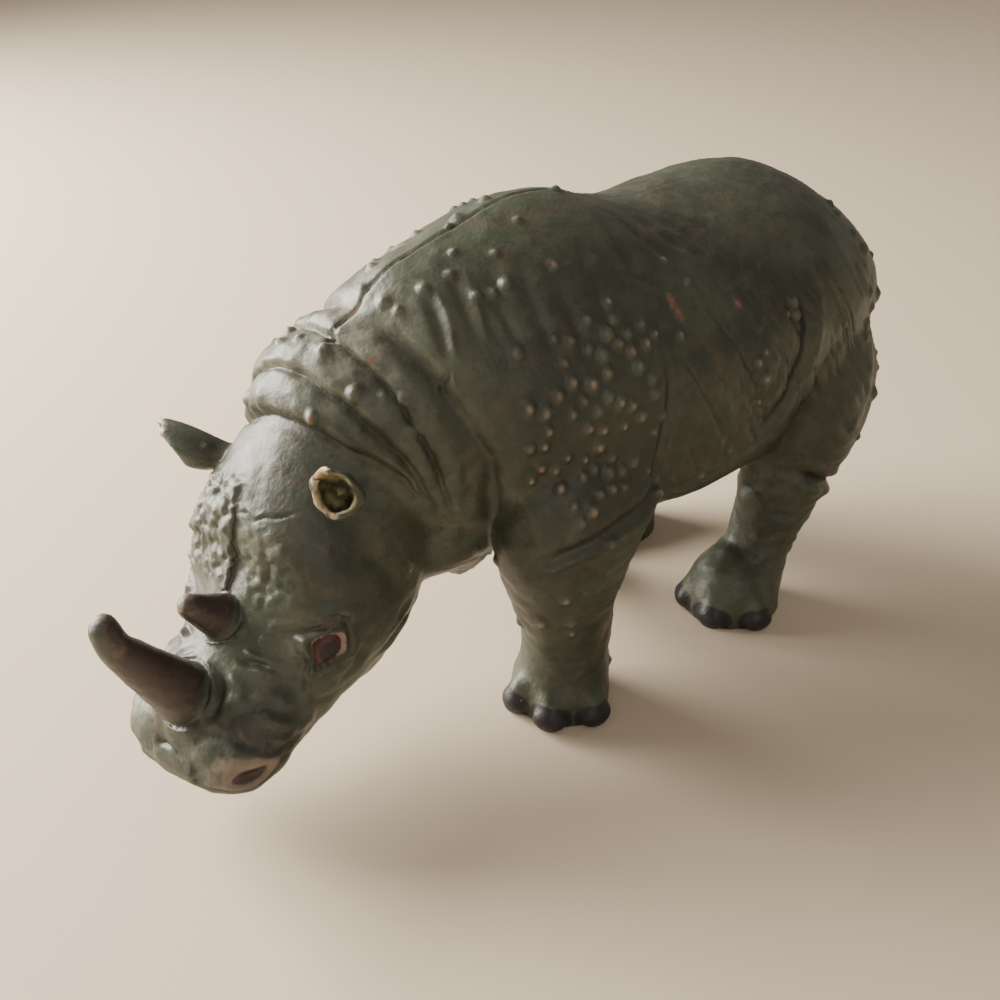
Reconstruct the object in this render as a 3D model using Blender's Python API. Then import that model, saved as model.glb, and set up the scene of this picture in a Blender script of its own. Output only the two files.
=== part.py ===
"""Rhinoceros figurine: one solid moulded piece that stands on its four feet.

The animal faces -X, its left flank is at -Y and +Z is up. Z = 0 is the plane of the soles.
Its form is a set of lofts (trunk, neck, head, legs, ears, horns, tail and toes) that are fused by a
voxel remesh, carved with folds and features, thinned, and cut flat under the feet.
"""

import math

import bmesh
import bpy
import numpy as np
from mathutils import Matrix, Vector

# Driving dimensions, in metres. The body's pose and profiles are shares of FIGURE_LENGTH, which
# runs from the front horn's tip to the tail.
FIGURE_LENGTH = 0.143
FRONT_HORN_LENGTH = 0.0175
FRONT_HORN_WIDTH = 0.0084
REAR_HORN_LENGTH = 0.0072
REAR_HORN_WIDTH = 0.0062
EAR_LENGTH = 0.0105
EAR_WIDTH = 0.0071
EAR_WALL = 0.0012
NAIL_WIDTH = 0.0044
EYE_LENGTH = 0.0048
TAIL_WIDTH = 0.0044
FOLD_DEPTH = 0.0013

# How fine the solid is.
FUSE_VOXEL = 0.0008
SOFTEN_STEPS = 12
SKIN_TRIANGLES = 6400

# The stations below are in 143rds of the figure's length. The soles are cut flat at this height.
SHARE = FIGURE_LENGTH / 143
SOLE = 2.7

# Pose of the head. Its own frame has the poll, the top between the ears, as its origin.
HEAD_TURN = math.radians(17.5)
HEAD_DROP = math.radians(47.7)
HEAD_TILT = math.radians(-5.9)
POLL = Vector((-40.0, 0.7, 53))

# A ring's corners and the rings between two stations, for the skin and for the small features.
SKIN_RINGS = (40, 6)
FEATURE_RINGS = (18, 2)
EAR_CORNERS = 20

# Each station is x, y, z of the centre, reach above, reach below, half width, and how square the
# section is above and below. "Above" is up on the trunk, the brow side on the head, and forwards
# on a leg.
TRUNK = [
    (73.0, 0, 52.0, 2.0, 2.0, 3.0, 2.0, 2.0),
    (71.5, 0, 52.0, 6.8, 9.0, 10.5, 2.0, 2.0),
    (68.0, 0, 53.5, 10.4, 16.0, 16.0, 2.0, 2.0),
    (60.5, 0, 55.5, 15.6, 22.5, 20.6, 1.9, 2.3),
    (50.0, 0, 56.0, 20.8, 26.0, 23.5, 1.9, 2.5),
    (38.0, 0, 55.0, 21.5, 27.0, 25.0, 1.85, 2.5),
    (26.0, 0, 54.0, 21.5, 27.0, 25.5, 1.85, 2.5),
    (14.0, 0, 54.0, 23.5, 26.0, 25.0, 1.75, 2.4),
    (4.0, 0, 54.5, 25.5, 25.0, 24.5, 1.7, 2.3),
    (-6.0, 0, 55.0, 23.9, 24.5, 22.0, 1.7, 2.2),
    (-15.0, 0, 55.0, 19.6, 22.0, 18.5, 1.7, 2.1),
    (-22.0, 0, 53.0, 13.0, 15.0, 13.0, 1.8, 2.0),
    (-27.0, 0, 52.0, 5.0, 6.0, 6.0, 2.0, 2.0),
]
NECK = [
    (4.0, 0, 57.0, 8.0, 8.0, 8.0, 2.0, 2.0),
    (-5.0, 0, 56.5, 19.0, 25.5, 18.5, 1.7, 2.1),
    (-13.0, 0.8, 55.0, 20.2, 28.5, 17.5, 1.75, 2.1),
    (-20.0, 2.2, 52.5, 17.3, 31.5, 16.3, 1.85, 2.1),
    (-26.0, 4.0, 50.0, 15.5, 31.0, 15.3, 1.9, 2.1),
    (-31.0, 4.0, 46.5, 11.0, 22.0, 12.0, 2.0, 2.0),
]
THROAT = [
    (-6.0, 0, 38.0, 6.0, 9.0, 9.0, 2.0, 2.0),
    (-13.0, 0.5, 36.0, 8.0, 9.0, 12.0, 2.0, 2.0),
    (-20.0, 1.5, 34.5, 8.0, 8.5, 12.0, 2.0, 2.0),
    (-26.0, 3.0, 34.0, 6.0, 6.0, 9.0, 2.0, 2.0),
]
HEAD = [
    (11.0, 0, -13.0, 4.0, 5.0, 5.0, 2.0, 2.0),
    (6.0, 0, -12.5, 11.0, 14.5, 12.0, 2.0, 2.0),
    (0.0, 0, -13.0, 13.3, 17.5, 14.0, 2.2, 2.1),
    (-6.0, 0, -14.0, 13.9, 17.8, 15.2, 2.4, 2.2),
    (-12.0, 0, -14.5, 12.2, 17.3, 15.8, 2.6, 2.3),
    (-17.0, 0, -14.0, 9.4, 16.3, 15.2, 2.3, 2.3),
    (-21.0, 0, -13.5, 8.4, 14.7, 14.2, 1.9, 2.3),
    (-26.0, 0, -12.5, 7.8, 12.3, 12.8, 1.6, 2.2),
    (-30.5, 0, -11.0, 6.9, 10.5, 12.9, 1.8, 2.2),
    (-35.0, 0.5, -10.5, 6.0, 8.0, 13.8, 2.1, 2.3),
    (-39.5, 0.8, -10.5, 4.9, 5.8, 12.6, 2.2, 2.3),
    (-42.3, 0.8, -11.0, 3.4, 4.2, 9.2, 2.1, 2.1),
    (-43.6, 0.8, -11.3, 1.2, 1.2, 3.2, 2.0, 2.0),
]
LEFT_FORELEG = [
    (4.0, -14.0, 50.0, 10.0, 10.0, 8.0, 2.0, 2.0),
    (2.0, -16.5, 42.0, 14.0, 12.0, 9.5, 2.1, 2.1),
    (0.0, -16.8, 33.0, 13.6, 9.2, 8.8, 2.1, 2.1),
    (-0.5, -16.0, 24.0, 9.4, 7.4, 7.9, 2.1, 2.1),
    (0.0, -15.5, 16.0, 6.9, 7.0, 7.0, 2.1, 2.1),
    (0.0, -15.5, 10.0, 7.0, 7.0, 7.1, 2.1, 2.1),
    (-0.5, -15.5, 5.7, 7.9, 7.2, 8.1, 2.1, 2.1),
    (-0.5, -15.5, 1.5, 7.9, 7.0, 8.1, 2.1, 2.1),
]
LEFT_HINDLEG = [
    (55.5, -12.0, 54.0, 12.0, 11.0, 9.0, 2.0, 2.0),
    (54.5, -14.5, 44.0, 13.5, 13.0, 10.5, 2.1, 2.1),
    (52.0, -16.0, 35.0, 10.5, 11.0, 9.5, 2.1, 2.1),
    (49.5, -16.0, 27.0, 7.2, 8.5, 7.8, 2.1, 2.1),
    (47.0, -16.0, 19.0, 6.0, 6.4, 6.5, 2.1, 2.1),
    (44.6, -16.0, 12.5, 5.2, 6.0, 6.1, 2.1, 2.1),
    (42.0, -16.0, 8.8, 7.2, 7.0, 7.2, 2.1, 2.1),
    (39.8, -16.0, 5.7, 8.8, 8.4, 8.0, 2.1, 2.1),
    (39.8, -16.0, 1.5, 8.8, 8.4, 8.0, 2.1, 2.1),
]
# How far back the right feet stand from the left ones.
RIGHT_FOREFOOT_BACK = 25.0
RIGHT_HINDFOOT_BACK = 1.0
# The tail's sections are in halves of TAIL_WIDTH.
TAIL = [
    (67.0, 0, 66.0, 1.0, 1.0, 1.1, 2.0, 2.0),
    (71.8, 0, 60.5, 1.0, 1.0, 1.1, 2.0, 2.0),
    (73.8, 0, 54.0, 0.9, 0.9, 0.9, 2.0, 2.0),
    (73.2, 0, 46.0, 0.8, 0.8, 0.8, 2.0, 2.0),
    (71.8, 0, 40.0, 0.7, 0.7, 1.0, 2.0, 2.0),
    (70.5, 0, 36.0, 0.3, 0.3, 0.4, 2.0, 2.0),
]

# Where the features sit in the head's frame: forwards from the poll, then up.
FRONT_HORN_FOOT = (32.1, -4.1)
REAR_HORN_FOOT = (21.3, -4.7)
# A horn's profile: share of its height, share of its width, and share of its height that it
# leans back.
FRONT_HORN = [
    (-0.20, 1.00, 0.00),
    (0.00, 1.00, 0.00),
    (0.22, 0.86, 0.05),
    (0.42, 0.73, 0.10),
    (0.60, 0.62, 0.15),
    (0.75, 0.53, 0.19),
    (0.84, 0.49, 0.23),
    (0.92, 0.47, 0.29),
    (0.99, 0.39, 0.34),
    (1.03, 0.17, 0.36),
]
REAR_HORN = [
    (-0.40, 1.02, 0.00),
    (0.00, 1.00, 0.00),
    (0.35, 0.82, 0.00),
    (0.70, 0.62, 0.01),
    (0.95, 0.46, 0.02),
    (1.04, 0.20, 0.02),
]
# The root of each ear, the way it points and the way its hollow faces, in the head's frame.
EAR_ROOT = Vector((-1.4, 11.4, -4.8))
LEFT_EAR_POINTS = Vector((0.03, -0.53, 0.85))
RIGHT_EAR_POINTS = Vector((-0.12, 0.86, 0.52))
EAR_FACES = Vector((-1.0, 0.0, 0.1))
# An ear's profile, out from its root and then back down inside: share of its length, share of
# its width, and share of EAR_WALL that it is set in by. The front of the rim is lower than the tip.
EAR = [
    (-0.35, 0.60, 0),
    (0.00, 0.66, 0),
    (0.30, 0.84, 0),
    (0.60, 0.98, 0),
    (0.85, 1.00, 0),
    (0.97, 0.97, 0.2),
    (0.99, 0.95, 0.8),
    (0.85, 1.00, 1),
    (0.62, 0.96, 1),
    (0.42, 0.78, 1),
    (0.38, 0.30, 1),
]
EAR_FRONT = 0.45
# How sharply each ear's rim rises to its tip.
LEFT_EAR_TIP = 2.0
RIGHT_EAR_TIP = 0.7
EYE = Vector((-20.1, 13.8, -11.2))
# Where the toes sit round a foot, in degrees outwards from straight ahead.
FORE_TOES = (-12, 36, 86)
HIND_TOES = (-36, 16, 72)
FOOT_RADIUS = 7.6

# The neck's folds: a point on each one's plane, the plane's direction and the fold's depth as a
# share of FOLD_DEPTH. The skin rolls between one plane and the next.
NECK_FOLDS = [
    ((-20.4, 0, 58.0), (-0.935, -0.054, -0.349), 0.8),
    ((-24.5, 0, 56.5), (-0.935, -0.054, -0.349), 1.0),
    ((-33.4, 0, 62.7), (-0.88, -0.20, -0.43), 0.9),
    ((-37.0, 0, 58.5), (-0.75, -0.25, -0.61), 0.7),
]
ROLL_HEIGHT = 0.6
# Creases in the left side's skin: points on it, depth as a share of FOLD_DEPTH, and half width.
# The right side mirrors them.
CREASES = [
    ([(-15.8, -17.3, 51.8), (-13.2, -14.4, 40.9), (-11.2, -10.3, 33.5)], 0.5, 1.1),
    ([(39.3, -21.4, 65.0), (38.1, -24.4, 58.4), (35.8, -25.0, 49.3), (27.0, -23.8, 41.5)], 0.6, 1.5),
    ([(-12.0, -14.0, 34.5), (-8.4, -22.8, 37.0), (-2.0, -25.9, 38.5), (4.9, -25.8, 39.9),
      (11.0, -23.5, 42.5)], 0.9, 1.2),
    ([(44.0, -25.0, 33.0), (51.0, -27.0, 29.0), (58.0, -25.5, 27.0)], 0.5, 1.3),
]
# The same in the head's frame: the mouth, the dip between the horns, the folds round the eye and
# the nostril. A depth below zero raises a ridge.
HEAD_CREASES = [
    ([(-42.5, -4.0, -7.5), (-38.5, -11.5, -8.4), (-36.0, -13.0, -11.2), (-32.0, -13.2, -16.0),
      (-28.5, -12.6, -17.5)], 0.9, 0.9),
    ([(-26.8, -6.5, -8.0), (-26.8, -3.0, -5.0), (-26.8, 0.5, -4.4)], 0.6, 1.3),
    ([(-15.0, -12.6, -8.6), (-18.5, -12.4, -7.2), (-23.0, -11.4, -8.2)], -0.7, 1.6),
    ([(-17.0, -14.6, -15.0), (-20.5, -14.4, -15.6), (-23.5, -13.2, -14.4)], 0.5, 1.0),
    ([(-31.0, -11.6, -9.4), (-29.5, -12.0, -7.6), (-28.4, -11.2, -6.4)], 0.7, 0.9),
    ([(-32.0, -9.5, -6.0), (-29.0, -9.8, -5.0), (-26.5, -9.6, -6.0)], -0.5, 1.2),
]


def smooth_rows(rows, steps):
    """Rows through the stations, as a Catmull-Rom curve in all their numbers at once."""
    rows = np.array(rows, float)
    padded = np.vstack([2 * rows[0] - rows[1], rows, 2 * rows[-1] - rows[-2]])
    out = []
    for i in range(1, len(padded) - 2):
        before, start, end, after = padded[i - 1 : i + 3]
        for t in np.arange(steps) / steps:
            out.append(
                0.5
                * (
                    2 * start
                    + (end - before) * t
                    + (2 * before - 5 * start + 4 * end - after) * t**2
                    + (3 * start - before - 3 * end + after) * t**3
                )
            )
    out.append(rows[-1])
    return np.array(out)


def loft(bm, rows, place=None, rings=SKIN_RINGS):
    """Adds a closed loft through the stations to bm, moved by the function place."""
    corners, steps = rings
    rows = smooth_rows(rows, steps)
    centres = rows[:, :3]
    along = np.gradient(centres, axis=0)
    along /= np.linalg.norm(along, axis=1)[:, None]
    side = np.array((0.0, 1.0, 0.0))
    rings = []
    for row, forward in zip(rows, along):
        above = np.cross(side, forward)
        above /= np.linalg.norm(above)
        up, down, wide, square_above, square_below = row[3:]
        ring = []
        for k in range(corners):
            angle = 2 * math.pi * k / corners
            c, s = math.cos(angle), math.sin(angle)
            square = square_above if s > 0 else square_below
            across = math.copysign(abs(c) ** (2 / square), c) * wide
            rise = math.copysign(abs(s) ** (2 / square), s) * (up if s > 0 else down)
            point = Vector(row[:3] + side * across + above * rise)
            ring.append(bm.verts.new((place(point) if place else point) * SHARE))
        rings.append(ring)
    for a, b in zip(rings, rings[1:]):
        for k in range(corners):
            j = (k + 1) % corners
            bm.faces.new((a[k], a[j], b[j], b[k]))
    bm.faces.new(rings[0][::-1])
    bm.faces.new(rings[-1])


def head_matrix():
    """From the head's own frame to the figure's: the muzzle points to -X in the head's frame."""
    turn = Matrix.Rotation(HEAD_TURN, 4, "Z")
    drop = Matrix.Rotation(-HEAD_DROP, 4, "Y")
    tilt = Matrix.Rotation(HEAD_TILT, 4, "X")
    return Matrix.Translation(POLL) @ turn @ drop @ tilt


HEAD_PLACE = head_matrix()


def on_head(point):
    return HEAD_PLACE @ point


def sized(rows, size):
    """The stations with sections in shares of a size in metres, as sections in 143rds."""
    unit = size / SHARE
    return [(*row[:3], *(part * unit for part in row[3:6]), *row[6:]) for row in rows]


def mirrored(rows, back):
    """A left leg's stations as the right leg's, with the foot this far back and the hip in place."""
    top = rows[0][2]
    out = []
    for x, y, z, *rest in rows:
        swing = 1 - max(0.0, z) / top
        out.append((x + back * swing, -y, z, *rest))
    return out


def feet():
    """Each foot's centre on the ground, its toes' angles and the side it is on."""
    fore, hind = LEFT_FORELEG[-2], LEFT_HINDLEG[-2]
    for side in (-1, 1):
        fore_back = RIGHT_FOREFOOT_BACK if side > 0 else 0
        hind_back = RIGHT_HINDFOOT_BACK if side > 0 else 0
        yield Vector((fore[0] + fore_back, side * abs(fore[1]), 0)), FORE_TOES, side
        yield Vector((hind[0] + hind_back, side * abs(hind[1]), 0)), HIND_TOES, side


def ball(bm, centre, along, across, up, segments=12):
    """An ellipsoid from its centre and its three half axes, as vectors in 143rds."""
    matrix = Matrix((along, across, up)).transposed().to_4x4()
    matrix = Matrix.Diagonal((SHARE, SHARE, SHARE, 1)) @ Matrix.Translation(centre) @ matrix
    bmesh.ops.create_uvsphere(
        bm, u_segments=segments, v_segments=segments * 3 // 5, radius=1, matrix=matrix
    )


def toes(bm, size, reach, height, segments=20):
    """Balls round each foot: the toes, or the nails on them."""
    for centre, angles, side in feet():
        for angle in angles:
            angle = math.radians(angle)
            ahead = Vector((-math.cos(angle), side * math.sin(angle), 0))
            across = Vector((-ahead.y, ahead.x, 0))
            at = centre + ahead * reach + Vector((0, 0, SOLE + height))
            ball(bm, at, ahead * size[0], across * size[1], Vector((0, 0, size[2])), segments)


def new_object(name, bm):
    bmesh.ops.recalc_face_normals(bm, faces=bm.faces)
    mesh = bpy.data.meshes.new(name)
    bm.to_mesh(mesh)
    bm.free()
    obj = bpy.data.objects.new(name, mesh)
    bpy.context.scene.collection.objects.link(obj)
    return obj


def baked(obj):
    """The object's mesh with its modifiers applied."""
    graph = bpy.context.evaluated_depsgraph_get()
    return bpy.data.meshes.new_from_object(obj.evaluated_get(graph))


def fused_body():
    """Trunk, neck, head, legs, tail and toes as one soft skin."""
    bm = bmesh.new()
    loft(bm, TRUNK)
    loft(bm, NECK)
    loft(bm, THROAT)
    loft(bm, HEAD, on_head)
    loft(bm, LEFT_FORELEG)
    loft(bm, LEFT_HINDLEG)
    loft(bm, mirrored(LEFT_FORELEG, RIGHT_FOREFOOT_BACK))
    loft(bm, mirrored(LEFT_HINDLEG, RIGHT_HINDFOOT_BACK))
    loft(bm, sized(TAIL, TAIL_WIDTH / 2))
    nail = NAIL_WIDTH / SHARE
    toes(bm, (nail * 0.95, nail * 0.72, nail * 0.9), FOOT_RADIUS - 1.6, nail * 0.55)
    obj = new_object("body", bm)
    fuse = obj.modifiers.new("fuse", "REMESH")
    fuse.mode = "VOXEL"
    fuse.voxel_size = FUSE_VOXEL
    soften = obj.modifiers.new("soften", "SMOOTH")
    soften.iterations = SOFTEN_STEPS
    soften.factor = 0.5
    return obj


def nearest_on_path(points, path):
    """Distance from each point to the path, and where along it, from 0 to 1."""
    path = np.array(path, float)
    best = np.full(len(points), 1e9)
    where = np.zeros(len(points))
    last = len(path) - 1
    for i in range(last):
        start, step = path[i], path[i + 1] - path[i]
        along = np.clip((points - start) @ step / (step @ step), 0, 1)
        distance = np.linalg.norm(points - start - along[:, None] * step, axis=1)
        nearer = distance < best
        best[nearer] = distance[nearer]
        where[nearer] = (i + along[nearer]) / last
    return best, where


def carved(mesh):
    """Presses the folds into the skin, along its normals."""
    count = len(mesh.vertices)
    points = np.empty(count * 3)
    mesh.vertices.foreach_get("co", points)
    points = points.reshape(-1, 3) / SHARE
    normals = np.empty(count * 3)
    mesh.vertex_normals.foreach_get("vector", normals)
    normals = normals.reshape(-1, 3)
    depth = FOLD_DEPTH / SHARE
    lift = np.zeros(count)
    fade = np.clip((points[:, 2] - 30) / 12, 0, 1)
    passed = [(points - at) @ np.array(axis) for at, axis, _ in NECK_FOLDS]
    for behind, ahead in zip(passed, passed[1:]):
        share = np.clip(behind / np.maximum(behind - ahead, 0.1), 0, 1)
        lift += ROLL_HEIGHT * np.sin(math.pi * share) ** 0.8 * fade
    for distance, fold in zip(passed, NECK_FOLDS):
        lift -= depth * fold[2] * np.exp(-((distance / 0.9) ** 2)) * fade
    to_head = np.array(HEAD_PLACE.inverted())
    on_face = points @ to_head[:3, :3].T + to_head[:3, 3]
    for creases, where_from in ((CREASES, points), (HEAD_CREASES, on_face)):
        for path, share, width in creases:
            for side in (1, -1):
                distance, where = nearest_on_path(where_from * (1, side, 1), path)
                fade = np.clip(np.minimum(where, 1 - where) * 6, 0, 1)
                lift -= depth * share * np.exp(-((distance / width) ** 2)) * fade
    points += normals * lift[:, None]
    mesh.vertices.foreach_set("co", (points * SHARE).ravel())
    mesh.update()
    return mesh


def horn(bm, foot, profile, length, width):
    """A horn on the head's midline that stands up from its foot and leans back."""
    length /= SHARE
    width /= SHARE
    rows = [
        (-foot[0] + length * lean, 0, foot[1] + length * height,
         width * share * 0.5, width * share * 0.5, width * share * 0.45, 2.0, 2.0)
        for height, share, lean in profile
    ]
    loft(bm, rows, on_head, FEATURE_RINGS)


def ear_place(side):
    """From an ear's own frame, with X along it and Z away from where it faces, to the figure's."""
    along = (LEFT_EAR_POINTS if side < 0 else RIGHT_EAR_POINTS).normalized()
    across = along.cross(EAR_FACES).normalized()
    back = along.cross(across)
    turn = Matrix((along, across, back)).transposed().to_4x4()
    root = Vector((EAR_ROOT.x, side * EAR_ROOT.y, EAR_ROOT.z))
    return HEAD_PLACE @ Matrix.Translation(root) @ turn


def ear(bm, side):
    """A trumpet with a slanting rim, which comes to a point at its back."""
    length, radius = EAR_LENGTH / SHARE, EAR_WIDTH / SHARE / 2
    matrix = ear_place(side)
    rings = []
    for out, wide, inset in EAR:
        reach = wide * radius - inset * EAR_WALL / SHARE
        ring = []
        for k in range(EAR_CORNERS):
            angle = 2 * math.pi * k / EAR_CORNERS
            back = ((1 + math.cos(angle)) / 2) ** (LEFT_EAR_TIP if side < 0 else RIGHT_EAR_TIP)
            slant = EAR_FRONT + (1 - EAR_FRONT) * back if out > 0 else 1
            point = Vector(
                (out * slant * length, reach * math.sin(angle), 0.8 * reach * math.cos(angle))
            )
            ring.append(bm.verts.new(matrix @ point * SHARE))
        rings.append(ring)
    for a, b in zip(rings, rings[1:]):
        for k in range(EAR_CORNERS):
            j = (k + 1) % EAR_CORNERS
            bm.faces.new((a[k], a[j], b[j], b[k]))
    bm.faces.new(rings[0][::-1])
    bm.faces.new(rings[-1])


def add_boolean(obj, other, operation):
    join = obj.modifiers.new(other.name, "BOOLEAN")
    join.operation = operation
    join.object = other
    join.solver = "EXACT"


def features():
    """Horns, ears, eyes and nails, sunk a little into the skin."""
    bm = bmesh.new()
    ear(bm, -1)
    ear(bm, 1)
    horn(bm, FRONT_HORN_FOOT, FRONT_HORN, FRONT_HORN_LENGTH, FRONT_HORN_WIDTH)
    horn(bm, REAR_HORN_FOOT, REAR_HORN, REAR_HORN_LENGTH, REAR_HORN_WIDTH)
    eye = EYE_LENGTH / SHARE / 2
    turn = HEAD_PLACE.to_3x3()
    for side in (-1, 1):
        at = on_head(Vector((EYE.x, side * EYE.y, EYE.z)))
        along = turn @ Vector((-0.96, -side * 0.28, 0))
        up = turn @ Vector((0, 0, 1))
        out = turn @ Vector((-0.28, side * 0.96, 0))
        ball(bm, at, along * eye, up * eye * 0.65, out * eye * 0.6)
    nail = NAIL_WIDTH / SHARE
    toes(bm, (nail * 0.44, nail * 0.52, nail * 0.5), FOOT_RADIUS + 0.9, nail * 0.42, 12)
    return new_object("features", bm)


def below_ground():
    """What a cut flat under the feet takes off."""
    bm = bmesh.new()
    size = 2 * FIGURE_LENGTH
    place = Matrix.Translation((0, 0, SOLE * SHARE - size / 2))
    bmesh.ops.create_cube(bm, size=size, matrix=place)
    return new_object("below_ground", bm)


def thinned(mesh, triangles):
    obj = bpy.data.objects.new("skin", mesh)
    bpy.context.scene.collection.objects.link(obj)
    thin = obj.modifiers.new("thin", "DECIMATE")
    thin.ratio = triangles / sum(len(face.vertices) - 2 for face in mesh.polygons)
    return obj


def centred(mesh):
    """Moves the mesh so that its box is centred over the origin and the soles are at Z = 0."""
    count = len(mesh.vertices)
    points = np.empty(count * 3)
    mesh.vertices.foreach_get("co", points)
    points = points.reshape(-1, 3)
    middle = (points.min(axis=0) + points.max(axis=0)) / 2
    points -= (middle[0], middle[1], SOLE * SHARE)
    mesh.vertices.foreach_set("co", points.ravel())
    return mesh


def painted():
    """Satin paint in dark grey-green."""
    material = bpy.data.materials.new("green_paint")
    material.use_nodes = True
    shader = material.node_tree.nodes["Principled BSDF"]
    shader.inputs["Base Color"].default_value = (0.075, 0.085, 0.06, 1)
    shader.inputs["Roughness"].default_value = 0.4
    shader.inputs["Metallic"].default_value = 0.0
    return material


def main():
    for obj in list(bpy.data.objects):
        bpy.data.objects.remove(obj)
    skin = thinned(carved(baked(fused_body())), SKIN_TRIANGLES)
    add_boolean(skin, features(), "UNION")
    add_boolean(skin, below_ground(), "DIFFERENCE")
    mesh = centred(baked(skin))
    for obj in list(bpy.data.objects):
        bpy.data.objects.remove(obj)
    mesh.name = "rhinoceros"
    mesh.materials.clear()
    mesh.materials.append(painted())
    figure = bpy.data.objects.new("rhinoceros", mesh)
    bpy.context.scene.collection.objects.link(figure)


main()
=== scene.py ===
"""The finished rhinoceros figurine: its skin with folds, warts and wrinkles, paint and a studio.

The skin is built from the same sections as the solid, at a finer grain, in 143rds of the figure's
length. It faces -X, its left flank is at -Y, and it is moved to the solid's place at the end.
"""

import math

import bmesh
import bpy
import numpy as np
from bpy.props import FloatProperty, FloatVectorProperty, IntProperty, PointerProperty
from mathutils import Matrix, Vector


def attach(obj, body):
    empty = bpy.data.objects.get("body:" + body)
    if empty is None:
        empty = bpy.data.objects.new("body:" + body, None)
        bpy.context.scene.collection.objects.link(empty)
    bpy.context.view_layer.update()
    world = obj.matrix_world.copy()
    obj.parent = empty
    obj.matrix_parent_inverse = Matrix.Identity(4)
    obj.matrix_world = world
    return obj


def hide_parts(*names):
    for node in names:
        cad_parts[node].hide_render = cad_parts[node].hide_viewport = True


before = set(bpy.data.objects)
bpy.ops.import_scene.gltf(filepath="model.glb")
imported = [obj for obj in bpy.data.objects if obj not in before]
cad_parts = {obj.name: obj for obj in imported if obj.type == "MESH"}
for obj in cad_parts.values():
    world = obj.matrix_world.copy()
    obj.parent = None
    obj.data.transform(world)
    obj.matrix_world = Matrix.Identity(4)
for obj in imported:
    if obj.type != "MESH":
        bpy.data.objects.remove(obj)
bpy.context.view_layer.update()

bl_info = {
    "name": "Rhinoceros figurine",
    "version": (1, 0, 0),
    "blender": (4, 5, 0),
    "location": "View3D > Sidebar > Figurine",
    "description": "Builds a painted rhinoceros figurine and a plain studio",
    "category": "Object",
}

# The figure's length in the sections' own frame, where the solid's middle lies in it, and the
# height of the soles.
SECTIONS_LENGTH = 143
MIDDLE = (3.7271, 0.0566)
SOLE = 2.7
# The solid is fused at this grain, in metres, and softened so many times.
SOLID_GRAIN = 0.0008
SOLID_SOFTENINGS = 12
# The grain of the soft body here, before the horns and ears are added.
BODY_GRAIN = 0.0005

# Pose of the head. Its own frame has the poll, the top between the ears, as its origin.
HEAD_TURN = math.radians(17.5)
HEAD_DROP = math.radians(47.7)
HEAD_TILT = math.radians(-5.9)
POLL = Vector((-40.0, 0.7, 53))

# Each station is x, y, z of the centre, reach above, reach below, half width, and how square the
# section is above and below. "Above" is up on the trunk, the brow side on the head, and forwards
# on a leg.
TRUNK = [
    (73, 0, 52, 2, 2, 3, 2, 2),
    (71.5, 0, 52, 6.8, 9, 10.5, 2, 2),
    (68, 0, 53.5, 10.4, 16, 16, 2, 2),
    (60.5, 0, 55.5, 15.6, 22.5, 20.6, 1.9, 2.3),
    (50, 0, 56, 20.8, 26, 23.5, 1.9, 2.5),
    (38, 0, 55, 21.5, 27, 25, 1.85, 2.5),
    (26, 0, 54, 21.5, 27, 25.5, 1.85, 2.5),
    (14, 0, 54, 23.5, 26, 25, 1.75, 2.4),
    (4, 0, 54.5, 25.5, 25, 24.5, 1.7, 2.3),
    (-6, 0, 55, 23.9, 24.5, 22, 1.7, 2.2),
    (-15, 0, 55, 19.6, 22, 18.5, 1.7, 2.1),
    (-22, 0, 53, 13, 15, 13, 1.8, 2),
    (-27, 0, 52, 5, 6, 6, 2, 2),
]
NECK = [
    (4, 0, 57, 8, 8, 8, 2, 2),
    (-5, 0, 56.5, 19, 25.5, 18.5, 1.7, 2.1),
    (-13, 0.8, 55, 20.2, 28.5, 17.5, 1.75, 2.1),
    (-20, 2.2, 52.5, 17.3, 31.5, 16.3, 1.85, 2.1),
    (-26, 4, 50, 15.5, 31, 15.3, 1.9, 2.1),
    (-31, 4, 46.5, 11, 22, 12, 2, 2),
]
THROAT = [
    (-6, 0, 38, 6, 9, 9, 2, 2),
    (-13, 0.5, 36, 8, 9, 12, 2, 2),
    (-20, 1.5, 34.5, 8, 8.5, 12, 2, 2),
    (-26, 3, 34, 6, 6, 9, 2, 2),
]
HEAD = [
    (11, 0, -13, 4, 5, 5, 2, 2),
    (6, 0, -12.5, 11, 14.5, 12, 2, 2),
    (0, 0, -13, 13.3, 17.5, 14, 2.2, 2.1),
    (-6, 0, -14, 13.9, 17.8, 15.2, 2.4, 2.2),
    (-12, 0, -14.5, 12.2, 17.3, 15.8, 2.6, 2.3),
    (-17, 0, -14, 9.4, 16.3, 15.2, 2.3, 2.3),
    (-21, 0, -13.5, 8.4, 14.7, 14.2, 1.9, 2.3),
    (-26, 0, -12.5, 7.8, 12.3, 12.8, 1.6, 2.2),
    (-30.5, 0, -11, 6.9, 10.5, 12.9, 1.8, 2.2),
    (-35, 0.5, -10.5, 6, 8, 13.8, 2.1, 2.3),
    (-39.5, 0.8, -10.5, 4.9, 5.8, 12.6, 2.2, 2.3),
    (-42.3, 0.8, -11, 3.4, 4.2, 9.2, 2.1, 2.1),
    (-43.6, 0.8, -11.3, 1.2, 1.2, 3.2, 2, 2),
]
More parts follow.
